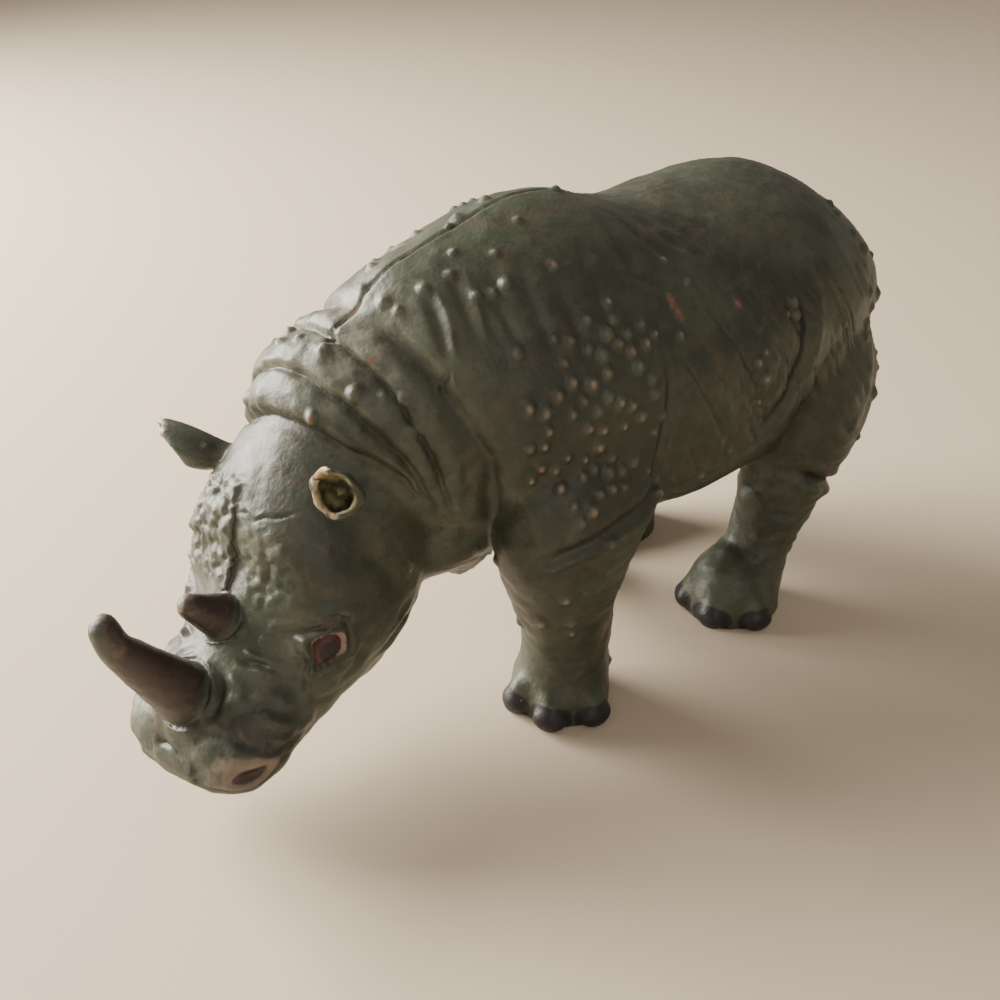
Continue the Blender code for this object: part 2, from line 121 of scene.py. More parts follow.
LEFT_FORELEG = [
    (4, -14, 50, 10, 10, 8, 2, 2),
    (2, -16.5, 42, 14, 12, 9.5, 2.1, 2.1),
    (0, -16.8, 33, 13.6, 9.2, 8.8, 2.1, 2.1),
    (-0.5, -16, 24, 9.4, 7.4, 7.9, 2.1, 2.1),
    (0, -15.5, 16, 6.9, 7, 7, 2.1, 2.1),
    (0, -15.5, 10, 7, 7, 7.1, 2.1, 2.1),
    (-0.5, -15.5, 5.7, 7.9, 7.2, 8.1, 2.1, 2.1),
    (-0.5, -15.5, 1.5, 7.9, 7, 8.1, 2.1, 2.1),
]
LEFT_HINDLEG = [
    (55.5, -12, 54, 12, 11, 9, 2, 2),
    (54.5, -14.5, 44, 13.5, 13, 10.5, 2.1, 2.1),
    (52, -16, 35, 10.5, 11, 9.5, 2.1, 2.1),
    (49.5, -16, 27, 7.2, 8.5, 7.8, 2.1, 2.1),
    (47, -16, 19, 6, 6.4, 6.5, 2.1, 2.1),
    (44.6, -16, 12.5, 5.2, 6, 6.1, 2.1, 2.1),
    (42, -16, 8.8, 7.2, 7, 7.2, 2.1, 2.1),
    (39.8, -16, 5.7, 8.8, 8.4, 8, 2.1, 2.1),
    (39.8, -16, 1.5, 8.8, 8.4, 8, 2.1, 2.1),
]
RIGHT_FOREFOOT_BACK = 25.0
RIGHT_HINDFOOT_BACK = 1.0
# The tail's sections are in halves of its width.
TAIL = [
    (67, 0, 66, 1, 1, 1.1, 2, 2),
    (71.8, 0, 60.5, 1, 1, 1.1, 2, 2),
    (73.8, 0, 54, 0.9, 0.9, 0.9, 2, 2),
    (73.2, 0, 46, 0.8, 0.8, 0.8, 2, 2),
    (71.8, 0, 40, 0.7, 0.7, 1, 2, 2),
    (70.5, 0, 36, 0.3, 0.3, 0.4, 2, 2),
]

# Where the features sit in the head's frame: forwards from the poll, then up.
FRONT_HORN_FOOT = (32.1, -4.1)
REAR_HORN_FOOT = (21.3, -4.7)
# A horn's profile: share of its height, share of its width, and share of its height that it
# leans back.
FRONT_HORN = [
    (-0.20, 1.00, 0.00),
    (0.00, 1.00, 0.00),
    (0.22, 0.86, 0.05),
    (0.42, 0.73, 0.10),
    (0.60, 0.62, 0.15),
    (0.75, 0.53, 0.19),
    (0.84, 0.49, 0.23),
    (0.92, 0.47, 0.29),
    (0.99, 0.39, 0.34),
    (1.03, 0.17, 0.36),
]
REAR_HORN = [
    (-0.40, 1.02, 0.00),
    (0.00, 1.00, 0.00),
    (0.35, 0.82, 0.00),
    (0.70, 0.62, 0.01),
    (0.95, 0.46, 0.02),
    (1.04, 0.20, 0.02),
]
EAR_ROOT = Vector((-1.4, 11.4, -4.8))
LEFT_EAR_POINTS = Vector((0.03, -0.53, 0.85))
RIGHT_EAR_POINTS = Vector((-0.12, 0.86, 0.52))
EAR_FACES = Vector((-1.0, 0.0, 0.1))
# An ear's profile, out from its root and then back down inside: share of its length, share of
# its width, and share of its wall that it is set in by. The front of the rim is lower than the tip.
EAR = [
    (-0.35, 0.60, 0),
    (0.00, 0.66, 0),
    (0.30, 0.84, 0),
    (0.60, 0.98, 0),
    (0.85, 1.00, 0),
    (0.95, 0.98, 0.15),
    (1.00, 0.96, 0.5),
    (0.92, 0.98, 0.9),
    (0.62, 0.96, 1),
    (0.42, 0.78, 1),
    (0.38, 0.30, 1),
]
EAR_FRONT = 0.45
# An ear's depth from front to back, as a share of its width.
EAR_DEPTH = 0.8
EAR_CORNERS = 56
# How sharply each ear's rim rises to its tip.
LEFT_EAR_TIP = 2.0
RIGHT_EAR_TIP = 0.7
# The side that the rims of the ears are worn towards.
EARS_WORN_TOWARDS = (-0.78, 0.62, 0.0)
# The toes' angles round each foot, in degrees from straight ahead, and the foot's radius.
FORE_TOES = (-12, 36, 86)
HIND_TOES = (-36, 16, 72)
FOOT_RADIUS = 7.6

# The neck's folds: a point on each one's plane, the plane's direction, the fold's depth, its
# half width, and the height below which it fades out.
NECK_FOLDS = [
    ((-20.4, 0, 58), (-0.935, -0.054, -0.349), 1.3, 1.2, 38),
    ((-24.5, 0, 56.5), (-0.935, -0.054, -0.349), 0.7, 0.34, 40),
    ((-33.4, 0, 62.7), (-0.88, -0.20, -0.43), 0.8, 0.5, 44),
    ((-37, 0, 58.5), (-0.75, -0.25, -0.61), 0.7, 0.6, 40),
]
ROLL_HEIGHT = 0.6

# Creases on the body's sides, drawn in x and z: the points, the depth and the half width. A depth
# below zero raises a ridge.
SIDE_CREASES = [
    ([(-15.8, 51.8), (-13.2, 40.9), (-11.2, 33.5)], 0.35, 0.9),
    ([(39.3, 65), (38.1, 58.4), (35.8, 49.3), (27, 41.5)], 0.6, 1.6),
    ([(42.6, 66), (41.5, 58.4), (39, 49.3), (30.5, 40.5)], -0.45, 1.3),
    ([(-12, 35.1), (-8.4, 37.9), (-2, 39.7), (4.9, 41.3), (11, 44)], 0.5, 0.8),
    ([(-11.5, 33.6), (-8, 36.2), (-2, 37.9), (5.5, 39.4), (9, 41.5)], -0.7, 0.7),
    ([(44, 30.6), (51, 26.6), (58, 24.6)], 1, 0.9),
    ([(44, 28.4), (51, 24.6), (57, 22.8)], -0.5, 1.1),
    ([(9.8, 66), (9.2, 57), (7.8, 49), (7.4, 43), (5.5, 40.5)], 0.5, 0.7),
    ([(-17.4, 72.6), (-17.8, 70.2), (-18.9, 67.2), (-19.4, 65)], 0.35, 0.6),
    ([(-16.2, 73.2), (-16.6, 70.6), (-17.7, 67.4), (-18.2, 65.4)], -0.25, 0.4),
    ([(-13.2, 74.9), (-14.6, 70.9), (-15.4, 66.6)], 0.3, 0.6),
    ([(-12.1, 74.6), (-13.3, 70.7), (-14.2, 66.9)], -0.2, 0.4),
    ([(-9.5, 75.5), (-10.6, 71), (-10.4, 66)], 0.2, 0.7),
    ([(-5.4, 76), (-6.6, 71), (-6.2, 65)], 0.22, 0.8),
    ([(-0.8, 75.5), (-2.4, 70), (-1.6, 63.5)], 0.2, 0.9),
    ([(4.6, 76), (2.4, 70.5), (3.4, 65)], 0.25, 0.8),
    ([(10.5, 77), (9.4, 73), (11.8, 69)], 0.3, 0.7),
    ([(-19.4, 64.2), (-19.9, 62.2), (-20.1, 60.8)], 0.4, 0.25),
    ([(-19, 52), (-18, 46), (-17, 40)], 0.2, 0.8),
    ([(-9.4, 31), (-9.2, 28), (-8.2, 24)], 0.5, 0.5),
    ([(-8.6, 29.8), (-6.6, 28.6), (-4.4, 29.2)], 0.6, 0.5),
    ([(-7.4, 27), (-5.6, 26), (-3.6, 26.3)], 0.7, 0.55),
    ([(-6.5, 31), (-3.6, 30), (-1.4, 31.2)], -0.4, 0.6),
    ([(-4.6, 27.6), (-2, 26.6), (1.5, 27), (4, 28.4)], -0.5, 0.5),
    ([(-5, 24.6), (0.5, 24), (4.5, 25.4)], 0.4, 0.5),
    ([(-6.5, 14.2), (0, 12.9), (6, 13.8)], 0.3, 0.6),
    ([(-6.8, 11.4), (0, 10.6), (6.5, 11.6)], -0.3, 0.8),
    ([(37, 12.4), (43.5, 11), (50, 12.4)], 0.35, 0.6),
    ([(41.5, 22), (47, 21), (53.5, 22.5)], 0.3, 0.6),
    ([(42, 36), (43.2, 43), (46, 50), (50.5, 56)], 0.45, 1.3),
    ([(56, 36), (60, 42), (62.5, 49), (62.5, 56)], 0.3, 1),
]
# Families of fine wrinkles there: the first one's points, how many, the step to the next one,
# the depth and the half width.
SIDE_WRINKLES = [
    ([(17.5, 73), (21, 65), (20.5, 56), (17, 48)], 5, (3.7, -0.8), 0.18, 0.6),
    ([(12, 40.5), (20, 38), (29, 39)], 3, (0.5, -2.8), 0.25, 0.6),
    ([(14, 77), (16.5, 73), (20.5, 70)], 3, (3.6, 0.2), 0.25, 0.6),
    ([(49, 40), (53, 36.5), (58, 35.5)], 3, (-1.5, -3), 0.25, 0.6),
    ([(-6, 34.6), (-1, 33.6), (4.5, 34.8)], 2, (-0.4, -2.4), 0.2, 0.6),
    ([(24, 46), (30, 50), (33, 56)], 3, (1.2, -3.4), 0.2, 0.7),
]
# Creases on the left side of the face, in the head's frame. The right side mirrors them.
FACE_CREASES = [
    ([(-42.6, -3, -7.4), (-41.6, -5.6, -7.4), (-40.2, -7.8, -7.8)], 0.3, 0.4),
    ([(-34, -13, -10.6), (-31.5, -13.2, -14), (-29, -12.6, -16.8)], 0.6, 0.5),
    ([(-33.2, -13, -9.4), (-30.6, -13, -12.8), (-28, -12.6, -15.2)], -0.4, 0.7),
    ([(-30.9, -9.4, -6.5), (-29.6, -10.8, -8.0), (-29.5, -12.0, -9.6), (-28.6, -12.4, -11.4)],
     0.4, 0.65),
    ([(-29.2, -8.8, -6.2), (-28.2, -10.2, -8), (-27.4, -11.7, -10.2)], -0.3, 0.8),
    ([(-31.8, -10.9, -7.5), (-31.9, -11.9, -8.8), (-32.6, -12.8, -10.2)], 0.25, 0.8),
    ([(-30.7, -10.8, -7.6), (-30.6, -12, -9.4), (-30.8, -12.6, -11.2)], -0.3, 0.6),
    ([(-34.6, -9.2, -6), (-35, -10.8, -7), (-34.4, -12.2, -8.4)], 0.35, 0.5),
    ([(-27.4, -0.8, -4.6), (-29.1, -3.2, -4.4), (-31.2, -3.9, -4.2), (-34.4, -3.2, -3.8)],
     -0.5, 0.6),
    ([(-26.7, -1.1, -5.5), (-28.5, -4.6, -5.2), (-31.4, -5.7, -5.0), (-34.6, -4.6, -4.8)],
     0.6, 0.6),
    ([(-27.5, -6, -6), (-29.6, -7.6, -6), (-32.4, -7.8, -5.8)], -0.3, 0.7),
    ([(-26.2, -3.9, -6.0), (-26.6, -6.0, -6.4), (-26.0, -8.1, -7.2), (-25.0, -9.8, -8.4)],
     -0.6, 0.65),
    ([(-25.2, -4.2, -6), (-25.4, -6.6, -6.8), (-24.8, -8.6, -7.6)], 0.45, 0.5),
    ([(-24.1, -4.6, -6), (-24.4, -7.3, -7.1), (-23.4, -9.4, -8)], -0.45, 0.5),
    ([(-22, -6.1, -6.4), (-22.1, -7.6, -7.1)], -0.4, 0.6),
    ([(-25.2, 0.8, -5.2), (-24.0, -1.4, -5.4), (-22.6, -3.0, -5.5), (-21.0, -4.0, -5.6)],
     -0.55, 0.7),
    ([(-17.9, -12.9, -8.4), (-16.2, -13.8, -8.9), (-15.4, -14.5, -10.3), (-15.8, -15.0, -12.0)],
     0.3, 0.5),
    ([(-18.4, -12.4, -7.2), (-16.0, -12.8, -7.6), (-14.2, -14.0, -9.6), (-14.2, -15.0, -12.4)],
     -0.4, 0.9),
    ([(-19.2, -11.2, -7.8), (-20.6, -11.4, -8.2), (-22.4, -11.6, -9)], -0.9, 1.3),
    ([(-19.6, -14.1, -14.9), (-22.2, -13.7, -14), (-24.4, -12.9, -12.4)], 0.4, 0.5),
    ([(-17, -15, -15.2), (-20, -14, -17), (-24, -13, -16.4)], 0.3, 0.7),
    ([(-25.7, -12.6, -12.1), (-26.6, -12.6, -14.6), (-25.8, -12.4, -17.2)], 0.35, 0.6),
    ([(-5, -14.5, -8), (-8, -15.4, -14), (-9, -15.4, -20)], 0.35, 1.4),
    ([(-20, -13.4, -20), (-15, -14.4, -23), (-10, -14, -25)], 0.3, 0.8),
]
# Creases on the top of the head, in its own x and y.
BROW_CREASES = [
    ([(-7.6, 0.6), (-7.4, -1.2), (-8.1, -2.8), (-6.9, -4.6), (-6.6, -6.4), (-4.6, -8.6)],
     0.25, 0.2),
    ([(-7.0, 0.6), (-6.7, -1.2), (-7.4, -2.8), (-6.2, -4.6), (-5.9, -6.2), (-4.1, -8.2)],
     -0.1, 0.3),
    ([(-3.5, 8.5), (-4.2, 6.4), (-5.8, 4.6), (-6.2, 2.8), (-7.4, 1)], 0.25, 0.2),
    ([(-35, -5), (-37, 0.5), (-35, 6)], -0.35, 1),
    ([(-40.4, -2), (-39.6, 0.5), (-39.8, 3)], 0.35, 0.35),
]
EYE = Vector((-20.1, 13.9, -11.0))
EYE_ALONG = Vector((-1.0, 0, -0.05))
EYE_HALF = (2.4, 1.6)
# The mouth's corner on the left side: its centre and half sizes in the head's x and z, and how it
# leans.
MOUTH = (-38.6, -9.05)
MOUTH_HALF = (2.2, 1.05)
MOUTH_LEAN = math.radians(26)
# The loose skin under the throat, and how it is softened.
THROAT_MIDDLE = (-20.0, 1.5, 32.0)
THROAT_REACH = (13.0, 16.0, 12.0)
THROAT_LEVELS = 4
THROAT_SOFTENINGS = 160
# Chips in the paint: where, and how wide.
CHIPS = [
    ((-26.2, -6.3, 65.3), 1.2),
    ((-30, -6.4, 60.8), 0.9),
    ((-22.3, -13.6, 59.1), 0.8),
    ((13.9, -19, 67.4), 1.3),
    ((14.5, -20.5, 65.5), 1.2),
    ((25.6, -21.2, 64.8), 1),
    ((8, -22.5, 62.5), 0.6),
    ((51.8, -23.3, 27.6), 1.5),
    ((54.5, -22.8, 27), 1.2),
    ((9.5, -25, 41.5), 1.4),
    ((34, 20, 68), 1.1),
    ((-4, 18.5, 70), 0.9),
    ((-24, 11, 61), 0.9),
]

# The camera: millimetres for its lens and sensor, metres for its place.
LENS = 41.4
SENSOR_WIDTH = 36
CAMERA_PLACE = (-0.10133, -0.12095, 0.1233)
CAMERA_RIGHT = Vector((0.7804, -0.6252, 0))
CAMERA_AHEAD = Vector((0.534, 0.667, -0.5195))
# The lamps: each one's name, place, target, width and colour.
KEY = ("key", (-0.29, 0.45, 0.26), (-0.01, 0, 0.04), 0.45, (1.0, 0.94, 0.83))
FILL = ("fill", (-0.35, -0.55, 0.45), (0, 0, 0.03), 0.6, (1.0, 0.93, 0.82))
ROOM_COLOUR = (1.0, 0.90, 0.77, 1)
# The floor lies this far under the soles, in metres.
FLOOR_GAP = 0.0001


def unit_of(sizes):
    """The length in metres of one unit of the sections."""
    return sizes.figure_length / SECTIONS_LENGTH


def smooth_rows(rows, steps):
    """Rows through the stations, as a Catmull-Rom curve in all their numbers at once."""
    rows = np.array(rows, float)
    padded = np.vstack([2 * rows[0] - rows[1], rows, 2 * rows[-1] - rows[-2]])
    out = []
    for i in range(1, len(padded) - 2):
        before, start, end, after = padded[i - 1 : i + 3]
        for t in np.arange(steps) / steps:
            out.append(
                0.5
                * (
                    2 * start
                    + (end - before) * t
                    + (2 * before - 5 * start + 4 * end - after) * t**2
                    + (3 * start - before - 3 * end + after) * t**3
                )
            )
    out.append(rows[-1])
    return np.array(out)


def skin_over(bm, rings):
    """Joins a row of rings of vertices into a closed tube."""
    count = len(rings[0])
    for a, b in zip(rings, rings[1:]):
        for k in range(count):
            j = (k + 1) % count
            bm.faces.new((a[k], a[j], b[j], b[k]))
    bm.faces.new(rings[0][::-1])
    bm.faces.new(rings[-1])


def loft(bm, unit, rows, place=None, corners=64, steps=8):
    """Adds a closed loft through the stations to bm, moved by the function place."""
    rows = smooth_rows(rows, steps)
    centres = rows[:, :3]
    along = np.gradient(centres, axis=0)
    along /= np.linalg.norm(along, axis=1)[:, None]
    side = np.array((0.0, 1.0, 0.0))
    rings = []
    for row, forward in zip(rows, along):
        above = np.cross(side, forward)
        above /= np.linalg.norm(above)
        up, down, wide, square_above, square_below = row[3:]
        ring = []
        for k in range(corners):
            angle = 2 * math.pi * k / corners
            c, s = math.cos(angle), math.sin(angle)
            square = square_above if s > 0 else square_below
            across = math.copysign(abs(c) ** (2 / square), c) * wide
            rise = math.copysign(abs(s) ** (2 / square), s) * (up if s > 0 else down)
            point = Vector(row[:3] + side * across + above * rise)
            ring.append(bm.verts.new((place(point) if place else point) * unit))
        rings.append(ring)
    skin_over(bm, rings)


def head_matrix():
    """From the head's own frame to the figure's: the muzzle points to -X in the head's frame."""
    turn = Matrix.Rotation(HEAD_TURN, 4, "Z")
    drop = Matrix.Rotation(-HEAD_DROP, 4, "Y")
    tilt = Matrix.Rotation(HEAD_TILT, 4, "X")
    return Matrix.Translation(POLL) @ turn @ drop @ tilt


HEAD_PLACE = head_matrix()
TO_HEAD = np.array(HEAD_PLACE.inverted())


def on_head(point):
    """A point of the head's own frame in the figure."""
    return HEAD_PLACE @ point


def in_head(points):
    """Points of the figure in the head's own frame."""
    return points @ TO_HEAD[:3, :3].T + TO_HEAD[:3, 3]


def mirrored(rows, back):
    """A left leg's stations as the right leg's, its foot this far back and its hip in place."""
    top = rows[0][2]
    out = []
    for x, y, z, *rest in rows:
        swing = 1 - max(0.0, z) / top
        out.append((x + back * swing, -y, z, *rest))
    return out


def feet():
    """Each foot's centre on the ground, its toes' angles and the side it is on."""
    fore, hind = LEFT_FORELEG[-2], LEFT_HINDLEG[-2]
    for side in (-1, 1):
        fore_back = RIGHT_FOREFOOT_BACK if side > 0 else 0
        hind_back = RIGHT_HINDFOOT_BACK if side > 0 else 0
        yield Vector((fore[0] + fore_back, side * abs(fore[1]), 0)), FORE_TOES, side
        yield Vector((hind[0] + hind_back, side * abs(hind[1]), 0)), HIND_TOES, side


def toe_places(reach, height):
    """Where balls sit round the feet, with the direction each one points."""
    for centre, angles, side in feet():
        for angle in angles:
            angle = math.radians(angle)
            ahead = Vector((-math.cos(angle), side * math.sin(angle), 0))
            yield centre + ahead * reach + Vector((0, 0, SOLE + height)), ahead


def ball(bm, unit, centre, along, across, up):
    """An ellipsoid from its centre and its three half axes."""
    matrix = Matrix((along, across, up)).transposed().to_4x4()
    matrix = Matrix.Diagonal((unit, unit, unit, 1)) @ Matrix.Translation(centre) @ matrix
    bmesh.ops.create_uvsphere(bm, u_segments=32, v_segments=20, radius=1, matrix=matrix)


def toes(bm, unit, size, reach, height):
    """Balls of this size round the feet."""
    for at, ahead in toe_places(reach, height):
        across = Vector((-ahead.y, ahead.x, 0))
        ball(bm, unit, at, ahead * size[0], across * size[1], Vector((0, 0, size[2])))


def horns(sizes, unit):
    """Each horn's foot, profile, length and width."""
    yield FRONT_HORN_FOOT, FRONT_HORN, sizes.front_horn_length / unit, sizes.front_horn_width / unit
    yield REAR_HORN_FOOT, REAR_HORN, sizes.rear_horn_length / unit, sizes.rear_horn_width / unit


def horn_rows(foot, profile, length, width):
    """A horn's stations on the head's midline."""
    return [
        (-foot[0] + length * lean, 0, foot[1] + length * height,
         width * share * 0.5, width * share * 0.5, width * share * 0.45, 2.0, 2.0)
        for height, share, lean in profile
    ]


def ear_place(side):
    """From an ear's own frame, with X along it and Z away from where it faces, to the figure's."""
    along = (LEFT_EAR_POINTS if side < 0 else RIGHT_EAR_POINTS).normalized()
    across = along.cross(EAR_FACES).normalized()
    back = along.cross(across)
    turn = Matrix((along, across, back)).transposed().to_4x4()
    root = Vector((EAR_ROOT.x, side * EAR_ROOT.y, EAR_ROOT.z))
    return HEAD_PLACE @ Matrix.Translation(root) @ turn


def ear(bm, unit, side, length, width, wall):
    """A trumpet with a slanting rim, which comes to a point at its back."""
    matrix = ear_place(side)
    rings = []
    for out, wide, inset in smooth_rows(EAR, 4):
        reach = wide * width / 2 - inset * wall
        ring = []
        for k in range(EAR_CORNERS):
            angle = 2 * math.pi * k / EAR_CORNERS
            back = ((1 + math.cos(angle)) / 2) ** (LEFT_EAR_TIP if side < 0 else RIGHT_EAR_TIP)
            slant = EAR_FRONT + (1 - EAR_FRONT) * back if out > 0 else 1
            waver = 1 + 0.07 * math.sin(3 * angle + side) + 0.04 * math.sin(7 * angle)
            slant *= 1 + 0.05 * math.sin(4 * angle + 2 * side)
            point = (
                out * slant * length, reach * waver * math.sin(angle),
                EAR_DEPTH * reach * waver * math.cos(angle),
            )
            ring.append(bm.verts.new(matrix @ Vector(point) * unit))
        rings.append(ring)
    skin_over(bm, rings)


def new_object(name, bm):
    """A new object of what bm holds, with its faces outwards."""
    bmesh.ops.recalc_face_normals(bm, faces=bm.faces)
    mesh = bpy.data.meshes.new(name)
    bm.to_mesh(mesh)
    bm.free()
    return link(name, mesh)


def link(name, data):
    """A new object in the scene."""
    obj = bpy.data.objects.new(name, data)
    bpy.context.scene.collection.objects.link(obj)
    return obj


def read_points(mesh):
    """The mesh's vertices as rows of x, y and z in metres."""
    points = np.empty(len(mesh.vertices) * 3)
    mesh.vertices.foreach_get("co", points)
    return points.reshape(-1, 3)


def bake(obj):
    """The object's mesh with its modifiers applied. The object itself goes."""
    graph = bpy.context.evaluated_depsgraph_get()
    mesh = bpy.data.meshes.new_from_object(obj.evaluated_get(graph))
    bpy.data.objects.remove(obj)
    return mesh


def remeshed(obj, voxel, steps):
    """The object's solids fused into one skin of this grain and softened."""
    fuse = obj.modifiers.new("fuse", "REMESH")
    fuse.mode = "VOXEL"
    fuse.voxel_size = voxel
    soften = obj.modifiers.new("soften", "SMOOTH")
    soften.iterations = steps
    soften.factor = 0.5
    return bake(obj)


def form(sizes):
    """The figure's plain form: the soft body with its horns, ears and nails."""
    unit = unit_of(sizes)
    bm = bmesh.new()
    loft(bm, unit, TRUNK)
    loft(bm, unit, NECK)
    loft(bm, unit, THROAT)
    loft(bm, unit, HEAD, on_head)
    loft(bm, unit, LEFT_FORELEG)
    loft(bm, unit, LEFT_HINDLEG)
    loft(bm, unit, mirrored(LEFT_FORELEG, RIGHT_FOREFOOT_BACK))
    loft(bm, unit, mirrored(LEFT_HINDLEG, RIGHT_HINDFOOT_BACK))
    half = sizes.tail_width / unit / 2
    tail = [(*row[:3], *(part * half for part in row[3:6]), *row[6:]) for row in TAIL]
    loft(bm, unit, tail, corners=24)
    nail = sizes.nail_width / unit
    toes(bm, unit, (nail * 0.95, nail * 0.72, nail * 0.9), FOOT_RADIUS - 1.6, nail * 0.55)
    body = new_object("body", bm)
    # Softening spreads with the square of the grain.
    mesh = remeshed(body, BODY_GRAIN, round(SOLID_SOFTENINGS * (SOLID_GRAIN / BODY_GRAIN) ** 2))

    bm = bmesh.new()
    bm.from_mesh(mesh)
    for side in (-1, 1):
        ear(bm, unit, side, sizes.ear_length / unit, sizes.ear_width / unit, sizes.ear_wall / unit)
    for horn in horns(sizes, unit):
        loft(bm, unit, horn_rows(*horn), on_head, 40, 5)
    toes(bm, unit, (nail * 0.44, nail * 0.62, nail * 0.52), FOOT_RADIUS + 0.9, nail * 0.42)
    return remeshed(new_object("form", bm), sizes.grain, 3)


def ridge(distance, width):
    """A rounded ridge: 1 where the distance is 0, fading over this half width."""
    return np.exp(-((distance / width) ** 2))


def rising(value, start, over):
    """0 up to the start, rising to 1 over this much more, or falling where that is negative."""
    return np.clip((value - start) / over, 0, 1)


def hashed(cells, seed):
    """A repeatable number from 0 to 1 for each whole cell."""
    n = cells[:, 0] * 73856093 ^ cells[:, 1] * 19349663 ^ cells[:, 2] * 83492791
    n = (n ^ (seed * 2654435)) & 0x7FFFFFFF
    n = (n ^ (n >> 15)) * 73244475 & 0x7FFFFFFF
    n = (n ^ (n >> 13)) * 73244475 & 0x7FFFFFFF
    return (n ^ (n >> 16)) / float(0x7FFFFFFF)


def noise(points, size, seed=0):
    """Smooth noise from -1 to 1 with bumps of about this size."""
    cells = np.floor(points / size).astype(np.int64)
    part = points / size - cells
    part = part * part * (3 - 2 * part)
    total = np.zeros(len(points))
    for corner in range(8):
        step = np.array((corner & 1, corner >> 1 & 1, corner >> 2 & 1))
        weight = np.prod(np.where(step, part, 1 - part), axis=1)
        total += weight * hashed(cells + step, seed)
    return 2 * total - 1


def pebbles(points, size, seed=0):
    """Distance to the nearest of a scatter of points, in units of their spacing."""
    cells = np.floor(points / size).astype(np.int64)
    nearest = np.full(len(points), 9.0)
    for x in (-1, 0, 1):
        for y in (-1, 0, 1):
            for z in (-1, 0, 1):
                cell = cells + (x, y, z)
                spot = np.stack([hashed(cell, seed + k) for k in (1, 2, 3)], axis=1)
                away = np.linalg.norm(cell + 0.15 + 0.7 * spot - points / size, axis=1)
                nearest = np.minimum(nearest, away)
    return nearest


def nearest_on_path(points, path):
    """Distance from each point to the path, and where along it, from 0 to 1."""
    best = np.full(len(points), 1e9)
    where = np.zeros(len(points))
    last = len(path) - 1
    for i in range(last):
        start, step = path[i], path[i + 1] - path[i]
        along = np.clip((points - start) @ step / (step @ step), 0, 1)
        distance = np.linalg.norm(points - start - along[:, None] * step, axis=1)
        nearer = distance < best
        best[nearer] = distance[nearer]
        where[nearer] = (i + along[nearer]) / last
    return best, where


class Skin:
    """The figure's vertices, in 143rds of its length, with what is done to each of them."""

    def __init__(self, mesh, sizes):
        self.mesh = mesh
        self.sizes = sizes
        self.unit = unit_of(sizes)
        self.points = read_points(mesh) / self.unit
        self.read_normals()
        self.head = in_head(self.points)
        self.head_normals = self.normals @ TO_HEAD[:3, :3].T
        self.lift = np.zeros(len(self.points))
        # Where the paint lays painted shade in folds and creases.
        self.fold = np.zeros(len(self.points))
        # 1 on the head in front of the neck's first fold, 0 behind it.
        at, axis = NECK_FOLDS[-1][:2]
        self.on_head = np.clip(((self.points - at) @ np.array(axis) + 0.5) / 1.5, 0, 1)

    def read_normals(self):
        normals = np.empty(len(self.mesh.vertices) * 3)
        self.mesh.vertex_normals.foreach_get("vector", normals)
        self.normals = normals.reshape(-1, 3)

    def push(self):
        """Moves the vertices along their normals by what was added up."""
        self.points += self.normals * self.lift[:, None]
        self.lift[:] = 0
        self.mesh.vertices.foreach_set("co", (self.points * self.unit).ravel())
        self.mesh.update()
        self.read_normals()

    def crease(self, flat, room, path, depth, width, crease_shade=1.0):
        """Presses a crease along a path in the flat coordinates, where room is above 0."""
        path = smooth_rows(path, 5)
        reach = width * 3.2
        low, high = path.min(axis=0) - reach, path.max(axis=0) + reach
        near = np.nonzero(((flat > low) & (flat < high)).all(axis=1) & (room > 0))[0]
        distance, where = nearest_on_path(flat[near], path)
        taper = np.clip(np.minimum(where, 1 - where) * 4, 0, 1) ** 0.7 * room[near]
        groove = ridge(distance, width) * taper
        self.lift[near] -= depth * groove
        if depth > 0:
            self.lift[near] += 0.3 * depth * ridge(distance - 2 * width, width) * taper
            # Deeper creases get darker painted shade, scaled by the last argument.
            deep = ridge(distance * 1.3, width) * taper * min(1, crease_shade * depth / 0.6)
            self.fold[near] = np.maximum(self.fold[near], deep)


def neck_folds(skin):
    """Rolls of skin between the neck's folds, each one steeper at its front."""
    points = skin.points
    passed = [(points - at) @ np.array(axis) for at, axis, *_ in NECK_FOLDS]
    waver = 0.45 * noise(points, 7, 11) + 0.2 * noise(points, 2.5, 12)
    for behind, ahead, fold in zip(passed, passed[1:], NECK_FOLDS[1:]):
        fade = np.clip((points[:, 2] - fold[4] + 4) / 12, 0, 1)
        share = np.clip((behind + waver) / np.maximum(behind - ahead, 0.1), 0, 1)
        skin.lift += ROLL_HEIGHT * np.sin(math.pi * share**1.5) ** 0.85 * fade
    for distance, (_, _, depth, width, low) in zip(passed, NECK_FOLDS):
        fade = np.clip((points[:, 2] - low) / 10, 0, 1)
        if width > 1:
            # The broad fold runs out before it reaches the seam.
            fade = fade * np.clip((np.abs(points[:, 1]) - 1) / 7, 0.1, 1)
        distance = distance + waver
        skin.lift -= depth * ridge(distance, width) * fade
        # Painted shade fills the neck's folds, through the fold mask.
        fold_shade = ridge(distance * 1.6, width) * fade * (0.8 if width < 1 else 0.7)
        skin.fold = np.maximum(skin.fold, fold_shade)
    rolls = np.clip(passed[0] / 2, 0, 1) * (1 - skin.on_head)
    skin.lift += rolls * (0.22 * noise(points, 2.8, 13) + 0.14 * noise(points, 1.3, 14))


